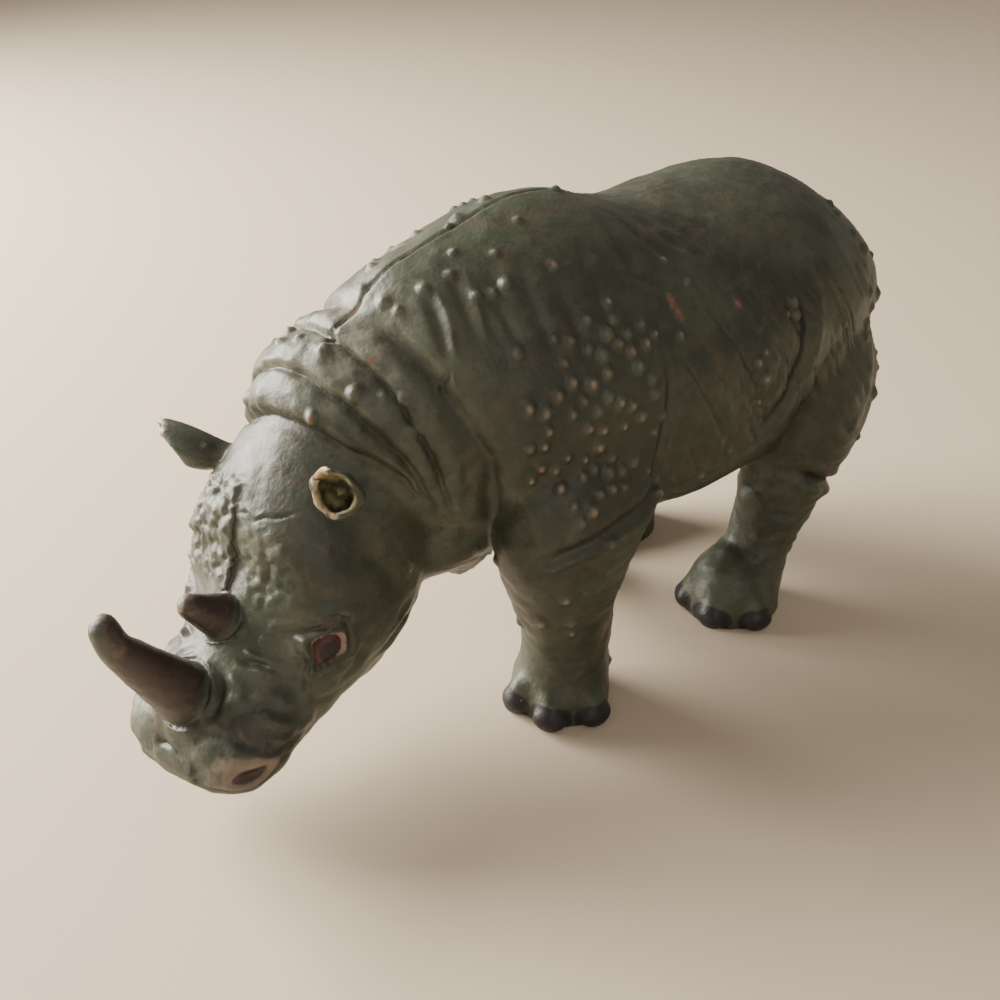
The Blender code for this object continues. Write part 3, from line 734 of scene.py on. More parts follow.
def body_creases(skin):
    """Creases and wrinkles on the flanks and the legs."""
    flat = skin.points[:, (0, 2)]
    for size, much, seed in ((8, 0.7, 21), (3.5, 0.15, 23)):
        warp = [noise(skin.points, size, seed), noise(skin.points, size, seed + 1)]
        flat = flat + much * np.stack(warp, axis=1)
    body = 1 - skin.on_head
    for side in (-1, 1):
        out = np.clip((skin.normals[:, 1] * side - 0.15) * 4, 0, 1)
        room = out * (skin.points[:, 1] * side > 2) * body
        # The right foreleg stands further back, so its creases do too.
        back = RIGHT_FOREFOOT_BACK if side > 0 else 0
        swing = np.clip(1 - skin.points[:, 2] / 42, 0, 1) * back * (skin.points[:, 0] < 32)
        here = flat - np.stack([swing, np.zeros(len(swing))], axis=1)
        for path, depth, width in SIDE_CREASES:
            skin.crease(here, room, path, depth, width)
        for path, count, step, depth, width in SIDE_WRINKLES:
            for i in range(count):
                moved = [(x + i * step[0], z + i * step[1]) for x, z in path]
                skin.crease(here, room, moved, depth * (1 - 0.25 * (i % 2)), width)


def seam_line(points):
    """How far each point is to the right of the seam along the back."""
    x = points * (1, 0, 0)
    wander = 0.3 * noise(x, 5, 31) + 0.12 * noise(x, 1.3, 32)
    return points[:, 1] - wander - 0.3 * np.clip(-points[:, 0] / 30, 0, 1)


def brow_line(head):
    """How far each point of the head is to the right of its jagged midline."""
    x = head * (1, 0, 0)
    return head[:, 1] - 0.3 - 0.5 * noise(x, 1.1, 33) - 0.35 * noise(x, 0.6, 34)


def brow_room(skin):
    """1 where the brow's midline shows, 0 elsewhere."""
    x, _, z = skin.head.T
    room = rising(x, -6.5, -1) * rising(x, -20, 2)
    return room * (skin.head_normals[:, 2] > 0.3) * (z > -9)


def seams(skin):
    """The mould's seam: a crack along the back, and a jagged raised edge down the brow."""
    x = skin.points[:, 0]
    line = seam_line(skin.points)
    room = (skin.normals[:, 2] > 0.1) * (1 - skin.on_head) * rising(x, -31, 2)
    strong = room * np.clip(1 - (x - 4) / 14, 0.18, 1)
    skin.lift += (0.1 * ridge(np.abs(line) - 0.7, 0.5) - 0.25 * ridge(line, 0.22)) * strong
    line = brow_line(skin.head)
    room = brow_room(skin)
    # The right half stands a little higher than the left one.
    skin.lift += 0.3 * room * np.clip(0.5 + line / 0.35, 0, 1) * np.clip(1.6 - line / 4, 0, 1)
    skin.lift += 0.22 * ridge(line - 0.4, 0.4) * room


def mouth_reach(head):
    """Distance from the mouth's middle in its half sizes, which are less below and in front and
    grow above it."""
    c, s = math.cos(MOUTH_LEAN), math.sin(MOUTH_LEAN)
    a, b = ((head[:, (0, 2)] - MOUTH) @ np.array(((c, s), (-s, c)))).T
    a, b = a / MOUTH_HALF[0], b / MOUTH_HALF[1]
    b = np.where(b > 1, 1 + 0.4 * (b - 1), np.where(b < 0, 1.5 * b, b))
    r = np.hypot(np.where(a < 0, 1.4 * a, a), b)
    return np.where(np.abs(head[:, 1]) > 4, r, 9)


def eye_reach(head, side):
    """Distance from the eye's centre in half sizes of the eye, how far ahead of it in half sizes,
    and 1 above it or -1 below."""
    away = head - (EYE.x, side * EYE.y, EYE.z)
    a = away @ np.array(EYE_ALONG)
    b = away @ np.array((EYE_ALONG.z, 0, -EYE_ALONG.x))
    a, b = a / EYE_HALF[0], b / EYE_HALF[1]
    # Almond: pointed at the corner by the muzzle, rounder at the other.
    pinch = 1.05 - 0.55 * np.clip(a + 0.3, 0, 2) ** 1.3 - 0.25 * np.clip(-a, 0, 2) ** 2
    r = np.hypot(a, b / np.maximum(pinch, 0.3))
    here = (head[:, 1] * side > 7) & (np.abs(a) < 4) & (np.abs(b) < 4)
    return np.where(here, r, 9), a, np.sign(b)


def face(skin):
    """Eyes, nostrils, mouth, brow and the creases round them."""
    head, normals = skin.head, skin.head_normals
    top_view = head[:, (0, 1)]
    warp = [0.3 * noise(head, 2.4, seed) for seed in (61, 62, 63)]
    warped = head + np.stack(warp, axis=1)
    for side in (-1, 1):
        room = skin.on_head * (head[:, 1] * side > -1.2)
        for path, depth, width in FACE_CREASES:
            path = [(x, -side * y, z) for x, y, z in path]
            skin.crease(warped, room, path, depth, width)
        r, _, above = eye_reach(head, side)
        skin.lift += 0.45 * np.clip(1 - r * r, 0, 1) - 0.35 * ridge(r - 1.06, 0.13)
        skin.lift += np.where(above > 0, 0.6, 0.45) * ridge(r - 1.36, 0.24)
        skin.lift += 0.2 * ridge(r - 2.6, 0.4) - 0.25 * ridge(r - 1.95, 0.3)
        # Painted shade in the groove round the eye.
        skin.fold = np.maximum(skin.fold, 0.5 * ridge(r - 1.08, 0.12))
        room = (head[:, 1] * side > 3) * skin.on_head
        if side < 0:
            r = mouth_reach(head)
            skin.lift -= 0.9 * np.exp(-(r**3)) - 0.3 * ridge(r - 1.6, 0.35)
            skin.lift -= 0.25 * ridge(r - 2.5, 0.3)
        else:
            path = [(-42.4, 4.4, -7.2), (-41.8, 6.6, -7.4), (-41.2, 8.0, -7.6)]
            skin.crease(head, room, path, 0.45, 0.6)
    room = np.clip((normals[:, 2] - 0.2) * 3, 0, 1) * (head[:, 2] > -12)
    # The brow's creases get darker painted shade than the others.
    for path, depth, width in BROW_CREASES:
        skin.crease(warped[:, :2], room * (skin.on_head > 0.2), path, depth, width, 2.5)
    # The skin swells round the horns' feet.
    for foot, width, rise in ((FRONT_HORN_FOOT, 4.9, 0.4), (REAR_HORN_FOOT, 3.8, 0.25)):
        r = np.linalg.norm(top_view - (-foot[0], 0), axis=1)
        skin.lift += rise * ridge(r - width, 1.3) * room * (head[:, 2] < -2)


def pebbled_brow(skin):
    """Small glossy pebbles on the forehead, coarse on its right half."""
    head = skin.head
    x, y, z = head.T
    near = np.nonzero((x < 1) & (x > -20) & (z > -11) & (skin.head_normals[:, 2] > 0))[0]
    x, y = x[near], y[near]
    facing_up = np.clip(skin.head_normals[near, 2] / 0.45, 0, 1) * rising(z[near], -11, 4)
    warp = [0.35 * noise(head[near], 1.6, seed) for seed in (43, 44, 45)]
    place = head[near] + np.stack(warp, axis=1)
    bumps = np.clip(1 - 1.35 * pebbles(place, 1.8, 41), 0, 1) ** 0.6
    bumps += 0.35 * noise(head[near], 0.9, 42)
    right = rising(y, 0.6, 0.8) * rising(x, -1.5, -3)
    right = right * rising(x, -18, 2)
    left = np.clip(1.2 - np.hypot((x + 13.5) / 4.5, (y + 5.0) / 5), 0, 1) ** 0.5
    crown = 0.15 * np.clip(1 - np.hypot((x + 3) / 4.5, (y + 1) / 8), 0, 1) ** 0.5
    skin.lift[near] += 0.75 * facing_up * bumps * np.maximum(np.maximum(right, 0.75 * left), crown)


def uneven(skin):
    """The slight unevenness of an old moulding, and strands down the tail."""
    points = skin.points
    soft = 0.20 * noise(points, 6, 51) + 0.10 * noise(points, 2.2, 52)
    soft += 0.04 * noise(points, 0.9, 53)
    hard = horn_share(skin)[0] > 0.5
    skin.lift += np.where(hard, 0.5, 1) * soft
    x, y, z = points.T
    tail = (x > 69.5) & (np.abs(y) < 3) & (z < 45)
    skin.lift += np.where(tail, 0.25 * np.sin(y * 7 + noise(points, 3, 54)), 0)
    # Grain runs up the horns.
    ring = 0.05 * noise(skin.head * (2.5, 2.5, 0.35), 0.8, 55)
    skin.lift += np.where(hard, ring, 0)


def wrinkles(skin):
    """Fine wrinkles: slanting on the flanks, level on the legs. They follow where a stretched
    noise crosses zero."""
    x, y, z = skin.points.T
    body = 1 - skin.on_head
    flank = body * rising(x, 8, 6) * rising(z, 36, 5)
    flank = flank * np.clip(1.3 - skin.normals[:, 2] * 1.3, 0, 1)
    leg = rising(z, 34, -6) * rising(z, 9, 4)
    slanting = np.stack([x + 0.61 * z, y * 0.3, z * 0.12], axis=1)
    level = np.stack([x * 0.35, y * 0.35, z], axis=1)
    for room, place, size, depth, seed in (
        (flank, slanting, 3.4, 0.42, 71),
        (flank, slanting, 2.0, 0.24, 74),
        (leg, level, 3.0, 0.30, 77),
    ):
        lines = np.clip(1 - 5 * np.abs(noise(place, size, seed)), 0, 1)
        lines *= np.clip(0.5 + 2 * noise(skin.points, 7, seed + 1), 0, 1)
        skin.lift -= depth * lines * room
    skin.lift += 0.22 * noise(skin.points * (1, 1, 1.5), 2.4, 80) * leg


def horn_share(skin):
    """How far each vertex is inside a horn, from 0 to 1 with the foot's edge at 0.5, and how far
    up it, from 0 to 1."""
    inside = np.zeros(len(skin.points))
    height = np.zeros(len(skin.points))
    x, y, z = skin.head.T
    for foot, profile, length, width in horns(skin.sizes, skin.unit):
        share = (z - foot[1]) / length
        table = np.array(profile)
        lean = np.interp(share, table[:, 0], table[:, 2]) * length
        reach = np.interp(share, table[:, 0], table[:, 1]) * width / 2
        away = np.hypot(x + foot[0] - lean, y / 0.9)
        edge = np.minimum(reach + 0.2 - away, z - foot[1] - 0.8 + 0.6 * (x + foot[0]) / width)
        edge = np.where(share > 1.15, -9, edge)
        inside = np.maximum(inside, np.clip(0.5 + edge / 2, 0, 1))
        height = np.where(away < reach + 1, np.clip(share, 0, 1), height)
    return inside, height


def plate_share(points):
    """1 in the middle of the shoulder plates, where the warts are close together, 0 elsewhere."""
    x, y, z = points.T
    plate = np.clip(2.6 - 2.2 * np.hypot((x + 1.0) / 11.5, (z - 55) / 15), 0, 1)
    return plate * rising(np.abs(y), 13, 4)


def wart_room(skin):
    """How closely warts may stand at each vertex, from 0 to 1."""
    x, y, z = skin.points.T
    plate = plate_share(skin.points) * np.clip(0.9 + 0.7 * noise(skin.points, 5, 91), 0.3, 1)
    side = np.clip(1.2 - skin.normals[:, 2], 0, 1)
    body = 0.10 * rising(z, 36, 5) * (1 - skin.on_head)
    body = body * np.where(x > 12, side**2, 1)
    neck = 0.04 * rising(x, -10, -4) * (1 - skin.on_head)
    cheek = 0.15 * skin.on_head * rising(skin.head[:, 0], -12, 4)
    cheek = cheek * (skin.head[:, 2] < -9) * (np.abs(skin.head[:, 1]) > 8)
    rump = 0.10 * rising(x, 48, 6) * rising(z, 30, 5)
    smooth = np.where(skin.fold > 0.3, 0, 1)
    return np.maximum(np.maximum(plate, body + neck + rump), cheek) * smooth


def node_of(tree, kind, **settings):
    """A new node with its settings, and its inputs by name or number."""
    node = tree.nodes.new(kind)
    inputs = settings.pop("inputs", {})
    for name, value in settings.items():
        setattr(node, name, value)
    for name, value in inputs.items():
        socket = node.inputs[name]
        if isinstance(value, bpy.types.NodeSocket):
            tree.links.new(value, socket)
        else:
            socket.default_value = value
    return node


def wart_tree():
    """Scatters warts over a skin and raises it into a dome at each of them."""
    tree = bpy.data.node_groups.new("Warts", "GeometryNodeTree")
    face = tree.interface
    face.new_socket("Skin", in_out="INPUT", socket_type="NodeSocketGeometry")
    for name, kind, value in (
        ("Spacing", "NodeSocketFloat", 0.0021),
        ("Density", "NodeSocketFloat", 600000.0),
        ("Smallest radius", "NodeSocketFloat", 0.0005),
        ("Largest radius", "NodeSocketFloat", 0.0011),
        ("Height", "NodeSocketFloat", 0.0005),
        ("Seed", "NodeSocketInt", 7),
        ("Paint", "NodeSocketMaterial", None),
    ):
        socket = face.new_socket(name, in_out="INPUT", socket_type=kind)
        if value is not None:
            socket.default_value = value
    face.new_socket("Skin", in_out="OUTPUT", socket_type="NodeSocketGeometry")

    def add(kind, inputs, output=0, **settings):
        return node_of(tree, kind, inputs=inputs, **settings).outputs[output]

    def math_of(operation, a, b):
        return add("ShaderNodeMath", {0: a, 1: b}, operation=operation)

    def vector_of(operation, a, b):
        return add("ShaderNodeVectorMath", {0: a, 1: b}, "Vector", operation=operation)

    given = node_of(tree, "NodeGroupInput").outputs
    room = add(
        "GeometryNodeInputNamedAttribute", {"Name": "wart_room"}, "Attribute", data_type="FLOAT"
    )
    scatter = add(
        "GeometryNodeDistributePointsOnFaces",
        {"Mesh": given["Skin"], "Distance Min": given["Spacing"], "Density Max": given["Density"],
         "Density Factor": room, "Seed": given["Seed"]},
        "Points", distribute_method="POISSON",
    )
    place = add("GeometryNodeInputPosition", {})
    radius = add(
        "FunctionNodeRandomValue",
        {2: given["Smallest radius"], 3: given["Largest radius"], "Seed": given["Seed"]},
        1, data_type="FLOAT",
    )
    nearest = add(
        "GeometryNodeSampleNearest", {"Geometry": scatter, "Sample Position": place}, "Index",
        domain="POINT",
    )
    centre, reach = (
        add("GeometryNodeSampleIndex", {"Geometry": scatter, "Value": value, "Index": nearest},
            "Value", data_type=kind, domain="POINT")
        for value, kind in ((place, "FLOAT_VECTOR"), (radius, "FLOAT"))
    )
    # Warts hang a little, so they are measured as if they were less high than they are.
    away = vector_of("MULTIPLY", vector_of("SUBTRACT", place, centre), (1.0, 1.0, 0.78))
    away = add("ShaderNodeVectorMath", {0: away}, "Value", operation="LENGTH")
    dome = add(
        "ShaderNodeMapRange",
        {"Value": math_of("DIVIDE", away, reach), "From Min": 1.15, "From Max": 0.0},
        "Result", interpolation_type="SMOOTHSTEP",
    )
    size = math_of("DIVIDE", reach, given["Largest radius"])
    rise = math_of("MULTIPLY", math_of("MULTIPLY", dome, given["Height"]), size)
    offset = add(
        "ShaderNodeVectorMath", {0: add("GeometryNodeInputNormal", {}), "Scale": rise},
        "Vector", operation="SCALE",
    )
    skin = add(
        "GeometryNodeStoreNamedAttribute",
        {"Geometry": given["Skin"], "Name": "wart", "Value": dome},
        data_type="FLOAT", domain="POINT",
    )
    skin = add("GeometryNodeSetPosition", {"Geometry": skin, "Offset": offset})
    skin = add("GeometryNodeRealizeInstances", {"Geometry": skin})
    skin = add("GeometryNodeSetMaterial", {"Geometry": skin, "Material": given["Paint"]})
    node_of(tree, "NodeGroupOutput", inputs={"Skin": skin})
    return tree


def with_warts(mesh, sizes, paint):
    """The mesh with warts on it, all in the paint."""
    obj = link("warty", mesh)
    nodes = obj.modifiers.new("warts", "NODES")
    nodes.node_group = wart_tree()
    values = {
        "Spacing": sizes.wart_spacing,
        "Smallest radius": sizes.wart_width * 0.45,
        "Largest radius": sizes.wart_width * 0.75,
        "Height": sizes.wart_height,
        "Seed": sizes.seed,
        "Paint": paint,
    }
    for item in nodes.node_group.interface.items_tree:
        if item.in_out == "INPUT" and item.name in values:
            nodes[item.identifier] = values[item.name]
    return bake(obj)


def store(mesh, name, values):
    """Keeps one number for each vertex as a named attribute."""
    old = mesh.attributes.get(name)
    if old:
        mesh.attributes.remove(old)
    mesh.attributes.new(name, "FLOAT", "POINT").data.foreach_set("value", values.astype(np.float32))


def softened_throat(mesh, unit):
    """Rounds off the loose skin under the throat."""
    away = (read_points(mesh) / unit - THROAT_MIDDLE) / THROAT_REACH
    share = np.clip(1.8 * (1 - np.linalg.norm(away, axis=1)), 0, 1)
    obj = link("throat", mesh)
    group = obj.vertex_groups.new(name="throat")
    level = np.round(share * THROAT_LEVELS).astype(int)
    for step in range(1, THROAT_LEVELS + 1):
        group.add(np.nonzero(level == step)[0].tolist(), step / THROAT_LEVELS, "REPLACE")
    soften = obj.modifiers.new("soften", "SMOOTH")
    soften.factor = 0.5
    soften.iterations = THROAT_SOFTENINGS
    soften.vertex_group = group.name
    return bake(obj)


def thinned(mesh, triangles):
    """The mesh with about this many triangles."""
    obj = link("skin", mesh)
    thin = obj.modifiers.new("thin", "DECIMATE")
    count = sum(len(face.vertices) - 2 for face in mesh.polygons)
    thin.ratio = min(1, triangles / count)
    return bake(obj)


def ear_mouth(side, length):
    """The middle of an ear's rim."""
    return np.array(ear_place(side) @ Vector((length * 0.8, 0, 0)))


def paint_places(mesh, sizes):
    """Stores where each colour goes, as smooth ramps that the paint cuts off sharply."""
    skin = Skin(mesh, sizes)
    head = skin.head
    horn, height = horn_share(skin)
    store(mesh, "horn", horn)
    store(mesh, "horn_height", height)
    nail = sizes.nail_width / skin.unit
    best = np.full(len(skin.points), 9.0)
    for at, ahead in toe_places(FOOT_RADIUS + 1.1, nail * 0.40):
        across = np.array((-ahead.y, ahead.x, 0))
        away = skin.points - np.array(at)
        away = away - 0.3 * (away @ across)[:, None] * across
        best = np.minimum(best, np.linalg.norm(away, axis=1))
    store(mesh, "nail", np.clip(0.5 + (nail * 0.60 - best) / 2, 0, 1))
    store(mesh, "foot", np.clip(1 - (skin.points[:, 2] - SOLE) / 12, 0, 1))
    eye, ahead = np.minimum(eye_reach(head, -1)[:2], eye_reach(head, 1)[:2])
    store(mesh, "eye", np.clip(eye / 3, 0, 1))
    # The white of the eye shows as a crescent at its back.
    store(mesh, "lid", np.clip(1 - np.abs(eye - 1.1) / 0.22, 0, 1) * np.clip(0.5 - ahead, 0, 1))
    store(mesh, "lip", np.clip(mouth_reach(head) / 4, 0, 1))
    chip = np.full(len(skin.points), -1.0)
    for at, width in CHIPS:
        chip = np.maximum(chip, width - np.linalg.norm((skin.points - at) * (1, 1, 0.7), axis=1))
    store(mesh, "chip", np.clip(0.5 + chip / 3, 0, 1))
    x, y, z = skin.points.T
    # The seam's and the brow's masks place thin lines of painted shade.
    room = (skin.normals[:, 2] > 0.1) * (skin.on_head < 0.1) * rising(x, -31, 2)
    store(mesh, "seam", np.clip(0.5 + seam_line(skin.points) / 4, 0, 1))
    store(mesh, "seam_room", room * np.clip(1 - (x - 2) / 16, 0.0, 1))
    store(mesh, "brow", np.clip(0.5 + brow_line(head) / 4, 0, 1))
    store(mesh, "brow_room", brow_room(skin))
    store(mesh, "plate", plate_share(skin.points))
    # This mask marks where a painted highlight lightens the top of the nape.
    store(mesh, "worn", ridge(x + 27, 6.5) * ridge(y, 8.5) * (z > 45))
    inner = np.zeros(len(skin.points))
    rim = np.zeros(len(skin.points))
    for side in (-1, 1):
        place = np.array(ear_place(side).inverted())
        local = skin.points @ place[:3, :3].T + place[:3, 3]
        length, radius = sizes.ear_length / skin.unit, sizes.ear_width / skin.unit / 2
        reach = np.hypot(local[:, 1], local[:, 2] / EAR_DEPTH)
        back = (1 + local[:, 2] / EAR_DEPTH / np.maximum(reach, 0.1)) / 2
        back = np.clip(back, 0, 1) ** (LEFT_EAR_TIP if side < 0 else RIGHT_EAR_TIP)
        top = length * (EAR_FRONT + (1 - EAR_FRONT) * back)
        out = local[:, 0] / top
        here = (out > 0.25) & (reach < radius * 1.3) & (out < 1.15)
        into = radius * 0.97 - sizes.ear_wall / skin.unit * 0.5 - reach
        inner = np.where(here, np.maximum(inner, np.clip(0.5 + into / 1.2, 0, 1)), inner)
        # The rim is worn most on the side that faces the figure's right front.
        towards = (skin.points - ear_mouth(side, length)) @ np.array(EARS_WORN_TOWARDS)
        worn = np.clip(0.5 + towards / 3, 0.1, 1)
        rim = np.where(here, np.maximum(rim, rising(out, 0.80, 0.15) * worn), rim)
    store(mesh, "ear_inner", inner)
    store(mesh, "ear_rim", rim)
    # The seam is worn to the bare plastic near the nape.
    store(mesh, "nape", ridge(y, 0.5) * ridge(x + 23, 6) * (1 - skin.on_head))


def finished_mesh(sizes, paint):
    """The skin in its final place, with its relief and its paint's attributes."""
    unit = unit_of(sizes)
    mesh = softened_throat(form(sizes), unit)
    skin = Skin(mesh, sizes)
    neck_folds(skin)
    skin.push()
    body_creases(skin)
    seams(skin)
    face(skin)
    pebbled_brow(skin)
    wrinkles(skin)
    uneven(skin)
    ears = np.zeros(len(skin.points))
    for side in (-1, 1):
        root = on_head(Vector((EAR_ROOT.x, side * EAR_ROOT.y, EAR_ROOT.z)))
        tip = ear_place(side) @ Vector((sizes.ear_length / unit, 0, 0))
        distance, where = nearest_on_path(skin.points, np.array((root, tip)))
        near = np.clip((5.2 - distance) * 2, 0, 1) * np.clip(where * 5 - 0.5, 0, 1)
        ears = np.maximum(ears, near)
    skin.lift *= 1 - ears
    skin.push()
    # The fold mask is where the paint lays painted shade in the folds and creases.
    store(mesh, "fold", np.clip(skin.fold * (1 - ears), 0, 1))
    store(mesh, "wart_room", wart_room(skin) * (1 - ears))
    mesh = with_warts(mesh, sizes, paint)
    mesh = thinned(mesh, sizes.triangles)
    paint_places(mesh, sizes)
    points = read_points(mesh) - np.array((*MIDDLE, SOLE)) * unit
    points[:, 2] = np.maximum(points[:, 2], 0)
    mesh.vertices.foreach_set("co", points.ravel())
    mesh.polygons.foreach_set("use_smooth", np.ones(len(mesh.polygons), bool))
    mesh.update()
    return mesh


class Paint:
    """Builds the paint's nodes: each method adds one step and returns its output."""

    def __init__(self, name):
        self.material = bpy.data.materials.new(name)
        self.material.use_nodes = True
        self.tree = self.material.node_tree
        self.shader = self.tree.nodes["Principled BSDF"]
        self.place = self.node("ShaderNodeTexCoord").outputs["Object"]

    def node(self, kind, **settings):
        return node_of(self.tree, kind, **settings)

    def attribute(self, name):
        return self.node("ShaderNodeAttribute", attribute_name=name).outputs["Fac"]

    def noise(self, size, detail=2.0, rough=0.5):
        """Noise with bumps of this size in metres."""
        node = self.node(
            "ShaderNodeTexNoise",
            inputs={"Vector": self.place, "Scale": 1 / size, "Detail": detail, "Roughness": rough},
        )
        return node.outputs["Fac"]

    def math(self, operation, a, b):
        return self.node("ShaderNodeMath", operation=operation, inputs={0: a, 1: b}).outputs[0]

    def times(self, a, b):
        return self.math("MULTIPLY", a, b)

    def ramp(self, value, low, high):
        """0 where the value is at low and below, 1 at high and above."""
        node = self.node(
            "ShaderNodeMapRange", interpolation_type="SMOOTHSTEP",
            inputs={"Value": value, "From Min": low, "From Max": high},
        )
        return node.outputs["Result"]

    def cover(self, mask, under, over):
        """One colour over another where the mask is 1."""
        node = self.node("ShaderNodeMix", data_type="RGBA")
        for name, value in ((0, mask), (6, under), (7, over)):
            if isinstance(value, bpy.types.NodeSocket):
                self.tree.links.new(value, node.inputs[name])
            else:
                node.inputs[name].default_value = (
                    (*value, 1) if isinstance(value, (tuple, list)) else value
                )
        return node.outputs[2]


def painted_plastic(colours):
    """Old green paint over orange plastic, worn off the warts' tips and the edges, with painted
    shade in the folds and between close warts, and painted highlights on the warts and the nape.
    """
    paint = Paint("painted_plastic")
    times, ramp, attribute = paint.times, paint.ramp, paint.attribute
    broad, fine, chips = paint.noise(0.016, 3), paint.noise(0.003, 3, 0.6), paint.noise(0.0016, 2)
    uneven = paint.math("ADD", times(chips, 0.5), -0.25)

    def colour(name):
        return tuple(getattr(colours, name))

    def shifted(name, much):
        """An attribute made uneven by this much, for a ragged edge."""
        return paint.math("ADD", attribute(name), times(uneven, much))

    def mixed(mask, under, over):
        return paint.cover(mask, colour(under), colour(over))

    skin = mixed(ramp(broad, 0.35, 0.65), "dark_green", "green")

    def coat(mask, over):
        """Paints a colour over the skin where the mask is 1."""
        nonlocal skin
        skin = paint.cover(mask, skin, colour(over) if isinstance(over, str) else over)

    coat(times(ramp(fine, 0.5, 0.75), 0.35), "light_green")
    coat(times(times(attribute("foot"), ramp(fine, 0.38, 0.62)), 0.6), "foot_green")
    # A painted highlight lightens the top of the nape.
    coat(times(times(attribute("worn"), ramp(fine, 0.3, 0.6)), 0.75), "nape_highlight")
    # The paint is rubbed thin in faint brownish patches.
    for size, low, much, name in (
        (0.0035, 0.50, 0.45, "rubbed"),
        (0.0022, 0.52, 0.5, "dark_green"),
    ):
        coat(times(ramp(paint.noise(size, 4, 0.62), low, low + 0.16), much), name)
    coat(times(ramp(attribute("nape"), 0.35, 0.75), ramp(fine, 0.45, 0.6)), "bare_edge")
    coat(times(ramp(shifted("chip", 1.6), 0.5, 0.85), 0.55), "plastic")
    # Painted shade darkens the folds and creases.
    fold = attribute("fold")
    coat(ramp(fold, 0.4, 1.0), "crease_shade")
    # Painted shade darkens thin lines along the back's seam and the brow's raised edge.
    for name, much, wide in (("seam", 0.0, 0.032), ("brow", 0.2, 0.03)):
        away = paint.math("ABSOLUTE", paint.math("SUBTRACT", shifted(name, much), 0.5), 0.0)
        coat(times(ramp(away, wide, wide * 0.5), attribute(name + "_room")), "crease_shade")
    # Painted shade darkens the paint between the close warts.
    wart = attribute("wart")
    coat(times(times(ramp(wart, 0.25, 0.0), attribute("plate")), 0.55), "dark_green")
    # On the warts the paint is lighter: partly rubbed, partly a painted highlight.
    coat(times(ramp(wart, 0.3, 0.8), 0.5), "light_green")
    # The warts' tips are worn, some to the beige undercoat and some to the plastic.
    tip = ramp(shifted("wart", 1.2), 0.62, 0.95)
    worn_tip = mixed(ramp(paint.noise(0.0045, 0), 0.60, 0.72), "undercoat", "plastic")
    much = ramp(paint.noise(0.006, 0), 0.36, 0.60)
    coat(times(tip, times(much, 0.7)), worn_tip)
    grain = times(ramp(shifted("horn_height", 1.0), 0.6, 1.05), ramp(fine, 0.42, 0.62))
    coat(ramp(shifted("horn", 0.4), 0.44, 0.54), mixed(grain, "horn", "horn_worn"))
    coat(ramp(shifted("nail", 0.4), 0.42, 0.56), "nail")
    coat(ramp(shifted("lip", 0.25), 0.48, 0.41), "lip")
    coat(ramp(shifted("lip", 0.1), 0.30, 0.24), "mouth")
    inner = mixed(ramp(fine, 0.4, 0.6), "ear_dark", "ear")
    coat(ramp(attribute("ear_inner"), 0.45, 0.6), inner)
    rim = mixed(ramp(fine, 0.42, 0.5), "ear_dark", "ear_rim")
    rim = paint.cover(ramp(chips, 0.42, 0.58), rim, colour("worn_rim"))
    coat(ramp(shifted("ear_rim", 1.4), 0.4, 0.65), rim)
    eye = attribute("eye")
    coat(ramp(attribute("lid"), 0.2, 0.5), "lid")
    coat(ramp(eye, 0.35, 0.33), "eye")
    coat(ramp(eye, 0.26, 0.16), "pupil")
    paint.tree.links.new(skin, paint.shader.inputs["Base Color"])

    rough = paint.node(
        "ShaderNodeMapRange", inputs={"Value": fine, "To Min": 0.34, "To Max": 0.56}
    ).outputs["Result"]
    rough = paint.math("MAXIMUM", rough, times(fold, 0.7))
    paint.tree.links.new(rough, paint.shader.inputs["Roughness"])
    paint.shader.inputs["Specular IOR Level"].default_value = 0.5
    grain = paint.math("ADD", times(paint.noise(0.0006, 3), 0.5), fine)
    bump = paint.node(
        "ShaderNodeBump", inputs={"Height": grain, "Strength": 0.5, "Distance": 0.00025}
    )
    paint.tree.links.new(bump.outputs["Normal"], paint.shader.inputs["Normal"])
    return paint.material


def area_light(name, place, target, size, colour, strength):
    """A square lamp at a place, turned to its target."""
    data = bpy.data.lights.new(name, "AREA")
    data.size = size
    data.energy = strength
    data.color = colour
    lamp = link(name, data)
    lamp.location = place
    lamp.rotation_euler = (Vector(target) - Vector(place)).to_track_quat("-Z", "Y").to_euler()
    return lamp


def length(name, description, default):
    """A size in metres."""
    return FloatProperty(
        name=name, description=description, default=default, min=0.0001, unit="LENGTH",
        subtype="DISTANCE", precision=4,
    )


def power(name, description, default):
    """A strength of a light."""
    return FloatProperty(
        name=name, description=description, default=default, min=0, unit="POWER"
    )


def shade(name, description, default):
    """A colour."""
    return FloatVectorProperty(
        name=name, description=description, default=default, size=3, min=0, max=1,
        subtype="COLOR",
    )


class FigureSizes(bpy.types.PropertyGroup):
    figure_length: length("Figure length", "From the front horn's tip to the tail", 0.143)
    front_horn_length: length("Front horn length", "How far the front horn stands up", 0.0175)
    front_horn_width: length("Front horn width", "Width of the front horn's foot", 0.0084)
    rear_horn_length: length("Rear horn length", "How far the rear horn stands up", 0.0072)
    rear_horn_width: length("Rear horn width", "Width of the rear horn's foot", 0.0062)
    ear_length: length("Ear length", "From the skin to the ear's tip", 0.0105)
    ear_width: length("Ear width", "Width of the ear's mouth", 0.0071)
    ear_wall: length("Ear wall", "Thickness of the ear's wall", 0.0012)
    nail_width: length("Nail width", "Width of a toe's nail", 0.0044)
    tail_width: length("Tail width", "Width of the tail", 0.0044)
    wart_spacing: length("Wart spacing", "Least distance between two warts", 0.0020)
    wart_width: length("Wart width", "Width of a usual wart", 0.0017)
    wart_height: length("Wart height", "How far the largest warts stand out", 0.00075)
    grain: length("Grain", "How fine the skin is sculpted", 0.0003)
    triangles: IntProperty(
        name="Triangles", description="How many triangles the finished skin keeps",
        default=192000, min=20000, max=198000,
    )
    seed: IntProperty(name="Seed", description="Which scatter of warts is used", default=7)


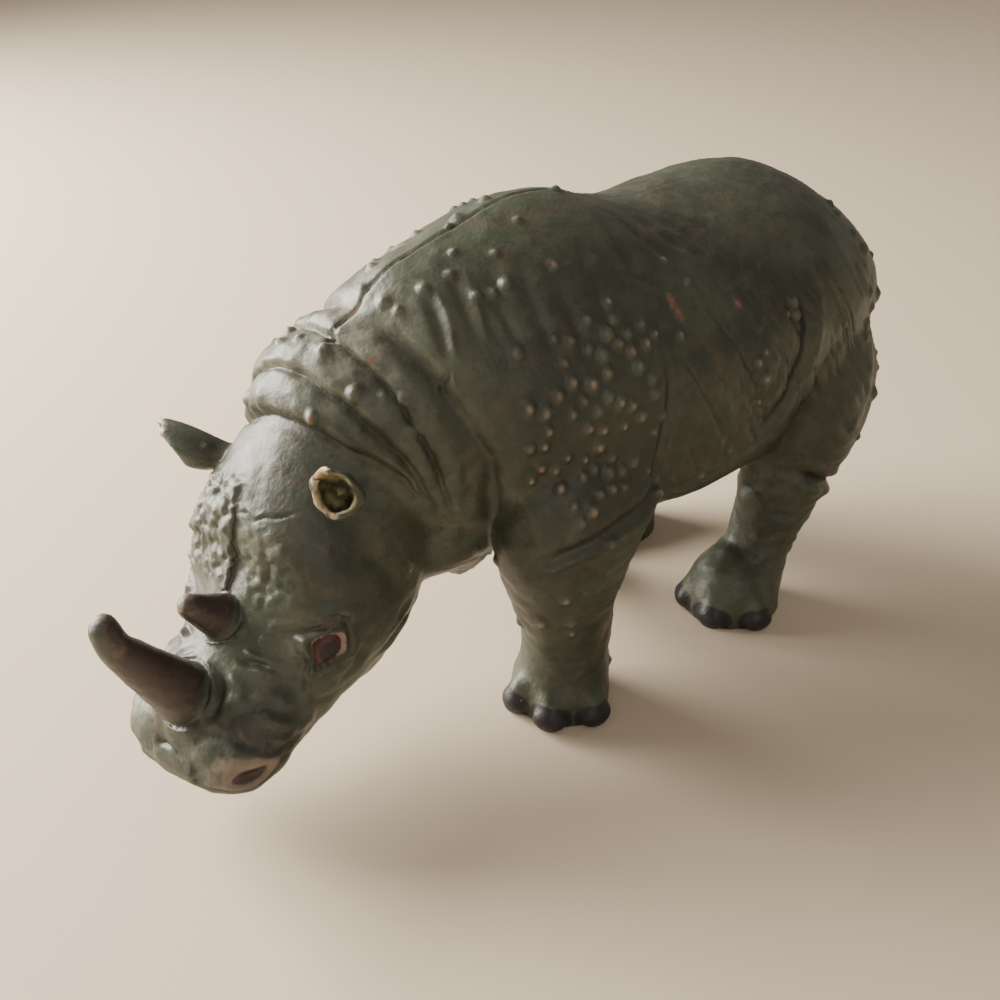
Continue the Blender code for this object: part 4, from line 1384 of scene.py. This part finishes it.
class FigureColours(bpy.types.PropertyGroup):
    # Also painted shade between the close warts.
    dark_green: shade("Dark green", "Paint in its darker patches", (0.026, 0.031, 0.021))
    green: shade("Green", "The paint's main colour", (0.058, 0.069, 0.047))
    # Also partly a painted highlight on the warts.
    light_green: shade("Light green", "Paint where it is rubbed", (0.105, 0.120, 0.085))
    # A painted highlight on the top of the nape.
    nape_highlight: shade("Worn green", "Paint worn pale on the nape", (0.20, 0.205, 0.165))
    foot_green: shade("Foot green", "Paint on the feet", (0.070, 0.090, 0.040))
    rubbed: shade("Rubbed paint", "Thin paint over the plastic", (0.085, 0.060, 0.040))
    plastic: shade("Plastic", "Bare plastic under the paint", (0.29, 0.13, 0.08))
    bare_edge: shade("Bare edge", "Plastic at the seam", (0.24, 0.075, 0.04))
    undercoat: shade("Undercoat", "What shows on worn warts", (0.29, 0.21, 0.155))
    # Painted shade in the folds and creases, and along the seams' lines.
    crease_shade: shade("Dirt", "What has gathered in the folds", (0.010, 0.009, 0.007))
    horn: shade("Horn", "The horns", (0.040, 0.026, 0.024))
    horn_worn: shade("Worn horn", "The horns where they are worn", (0.13, 0.095, 0.07))
    nail: shade("Nails", "The nails", (0.010, 0.010, 0.014))
    lip: shade("Lips", "The lips", (0.155, 0.118, 0.092))
    mouth: shade("Mouth", "Inside the mouth", (0.030, 0.017, 0.012))
    ear: shade("Ear", "Inside the ears", (0.17, 0.165, 0.08))
    ear_dark: shade("Dark ear", "Inside the ears in the shade", (0.03, 0.032, 0.018))
    ear_rim: shade("Ear rim", "The rims of the ears", (0.26, 0.14, 0.06))
    worn_rim: shade("Worn rim", "The rims of the ears where they are worn", (0.34, 0.29, 0.19))
    eye: shade("Eye", "The eyes", (0.060, 0.010, 0.009))
    lid: shade("White of the eye", "The crescent behind the eyes", (0.22, 0.165, 0.14))
    pupil: shade("Pupil", "The pupils", (0.004, 0.002, 0.002))


class StageSettings(bpy.types.PropertyGroup):
    floor_size: length("Floor size", "Side of the floor", 4.0)
    floor_colour: shade("Floor", "The floor", (0.66, 0.555, 0.43))
    key_power: power("Key light", "Strength of the main light", 17.0)
    fill_power: power("Fill light", "Strength of the light from the camera's side", 1.2)
    room: FloatProperty(
        name="Room light", description="Strength of the light from all round", default=0.35, min=0,
    )


class FIGURINE_OT_make_figure(bpy.types.Operator):
    """Builds the figure's skin with its folds, warts and paint"""

    bl_idname = "figurine.make_figure"
    bl_label = "Make the rhinoceros"

    def execute(self, context):
        sizes = context.scene.figurine_sizes
        paint = painted_plastic(context.scene.figurine_colours)
        mesh = finished_mesh(sizes, paint)
        mesh.materials.clear()
        mesh.materials.append(paint)
        figure = link("rhinoceros_skin", mesh)
        mesh.name = figure.name
        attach(figure, "root")
        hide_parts("rhinoceros")
        return {"FINISHED"}


class FIGURINE_OT_make_stage(bpy.types.Operator):
    """Lays a plain floor, lights it softly and sets up the camera"""

    bl_idname = "figurine.make_stage"
    bl_label = "Make the stage"

    def execute(self, context):
        scene = context.scene
        settings = scene.figurine_stage
        half = settings.floor_size / 2
        mesh = bpy.data.meshes.new("floor")
        mesh.from_pydata(
            [(-half, -half, 0), (half, -half, 0), (half, half, 0), (-half, half, 0)],
            [], [(0, 1, 2, 3)],
        )
        material = bpy.data.materials.new("floor")
        material.use_nodes = True
        shader = material.node_tree.nodes["Principled BSDF"]
        shader.inputs["Base Color"].default_value = (*settings.floor_colour, 1)
        shader.inputs["Roughness"].default_value = 0.85
        mesh.materials.append(material)
        floor = link("floor", mesh)
        floor.location.z = -FLOOR_GAP
        area_light(*KEY, settings.key_power)
        area_light(*FILL, settings.fill_power)
        world = bpy.data.worlds.new("room")
        world.use_nodes = True
        sky = world.node_tree.nodes["Background"]
        sky.inputs["Color"].default_value = ROOM_COLOUR
        sky.inputs["Strength"].default_value = settings.room
        scene.world = world
        data = bpy.data.cameras.new("camera")
        data.sensor_width = SENSOR_WIDTH
        data.lens = LENS
        data.clip_start = 0.01
        camera = link("camera", data)
        right, ahead = CAMERA_RIGHT.normalized(), CAMERA_AHEAD.normalized()
        up = right.cross(ahead)
        place = Matrix((right, up, -ahead)).transposed().to_4x4()
        place.translation = CAMERA_PLACE
        camera.matrix_world = place
        scene.camera = camera
        return {"FINISHED"}


class FIGURINE_PT_panel(bpy.types.Panel):
    """Shows the buttons that make the figure and the stage, with their settings and the colours"""

    bl_idname = "FIGURINE_PT_panel"
    bl_label = "Rhinoceros figurine"
    bl_space_type = "VIEW_3D"
    bl_region_type = "UI"
    bl_category = "Figurine"

    def draw(self, context):
        scene = context.scene
        for operator, group in (
            (FIGURINE_OT_make_figure, scene.figurine_sizes),
            (FIGURINE_OT_make_stage, scene.figurine_stage),
        ):
            self.layout.operator(operator.bl_idname)
            for name in group.__annotations__:
                self.layout.prop(group, name)
        for name in scene.figurine_colours.__annotations__:
            self.layout.prop(scene.figurine_colours, name)


CLASSES = (
    FigureSizes,
    FigureColours,
    StageSettings,
    FIGURINE_OT_make_figure,
    FIGURINE_OT_make_stage,
    FIGURINE_PT_panel,
)


def register():
    for one in CLASSES:
        bpy.utils.register_class(one)
    bpy.types.Scene.figurine_sizes = PointerProperty(type=FigureSizes)
    bpy.types.Scene.figurine_colours = PointerProperty(type=FigureColours)
    bpy.types.Scene.figurine_stage = PointerProperty(type=StageSettings)


def unregister():
    del bpy.types.Scene.figurine_stage
    del bpy.types.Scene.figurine_colours
    del bpy.types.Scene.figurine_sizes
    for one in reversed(CLASSES):
        bpy.utils.unregister_class(one)


def main():
    register()
    bpy.ops.figurine.make_figure()
    bpy.ops.figurine.make_stage()


if __name__ == "__main__":
    main()
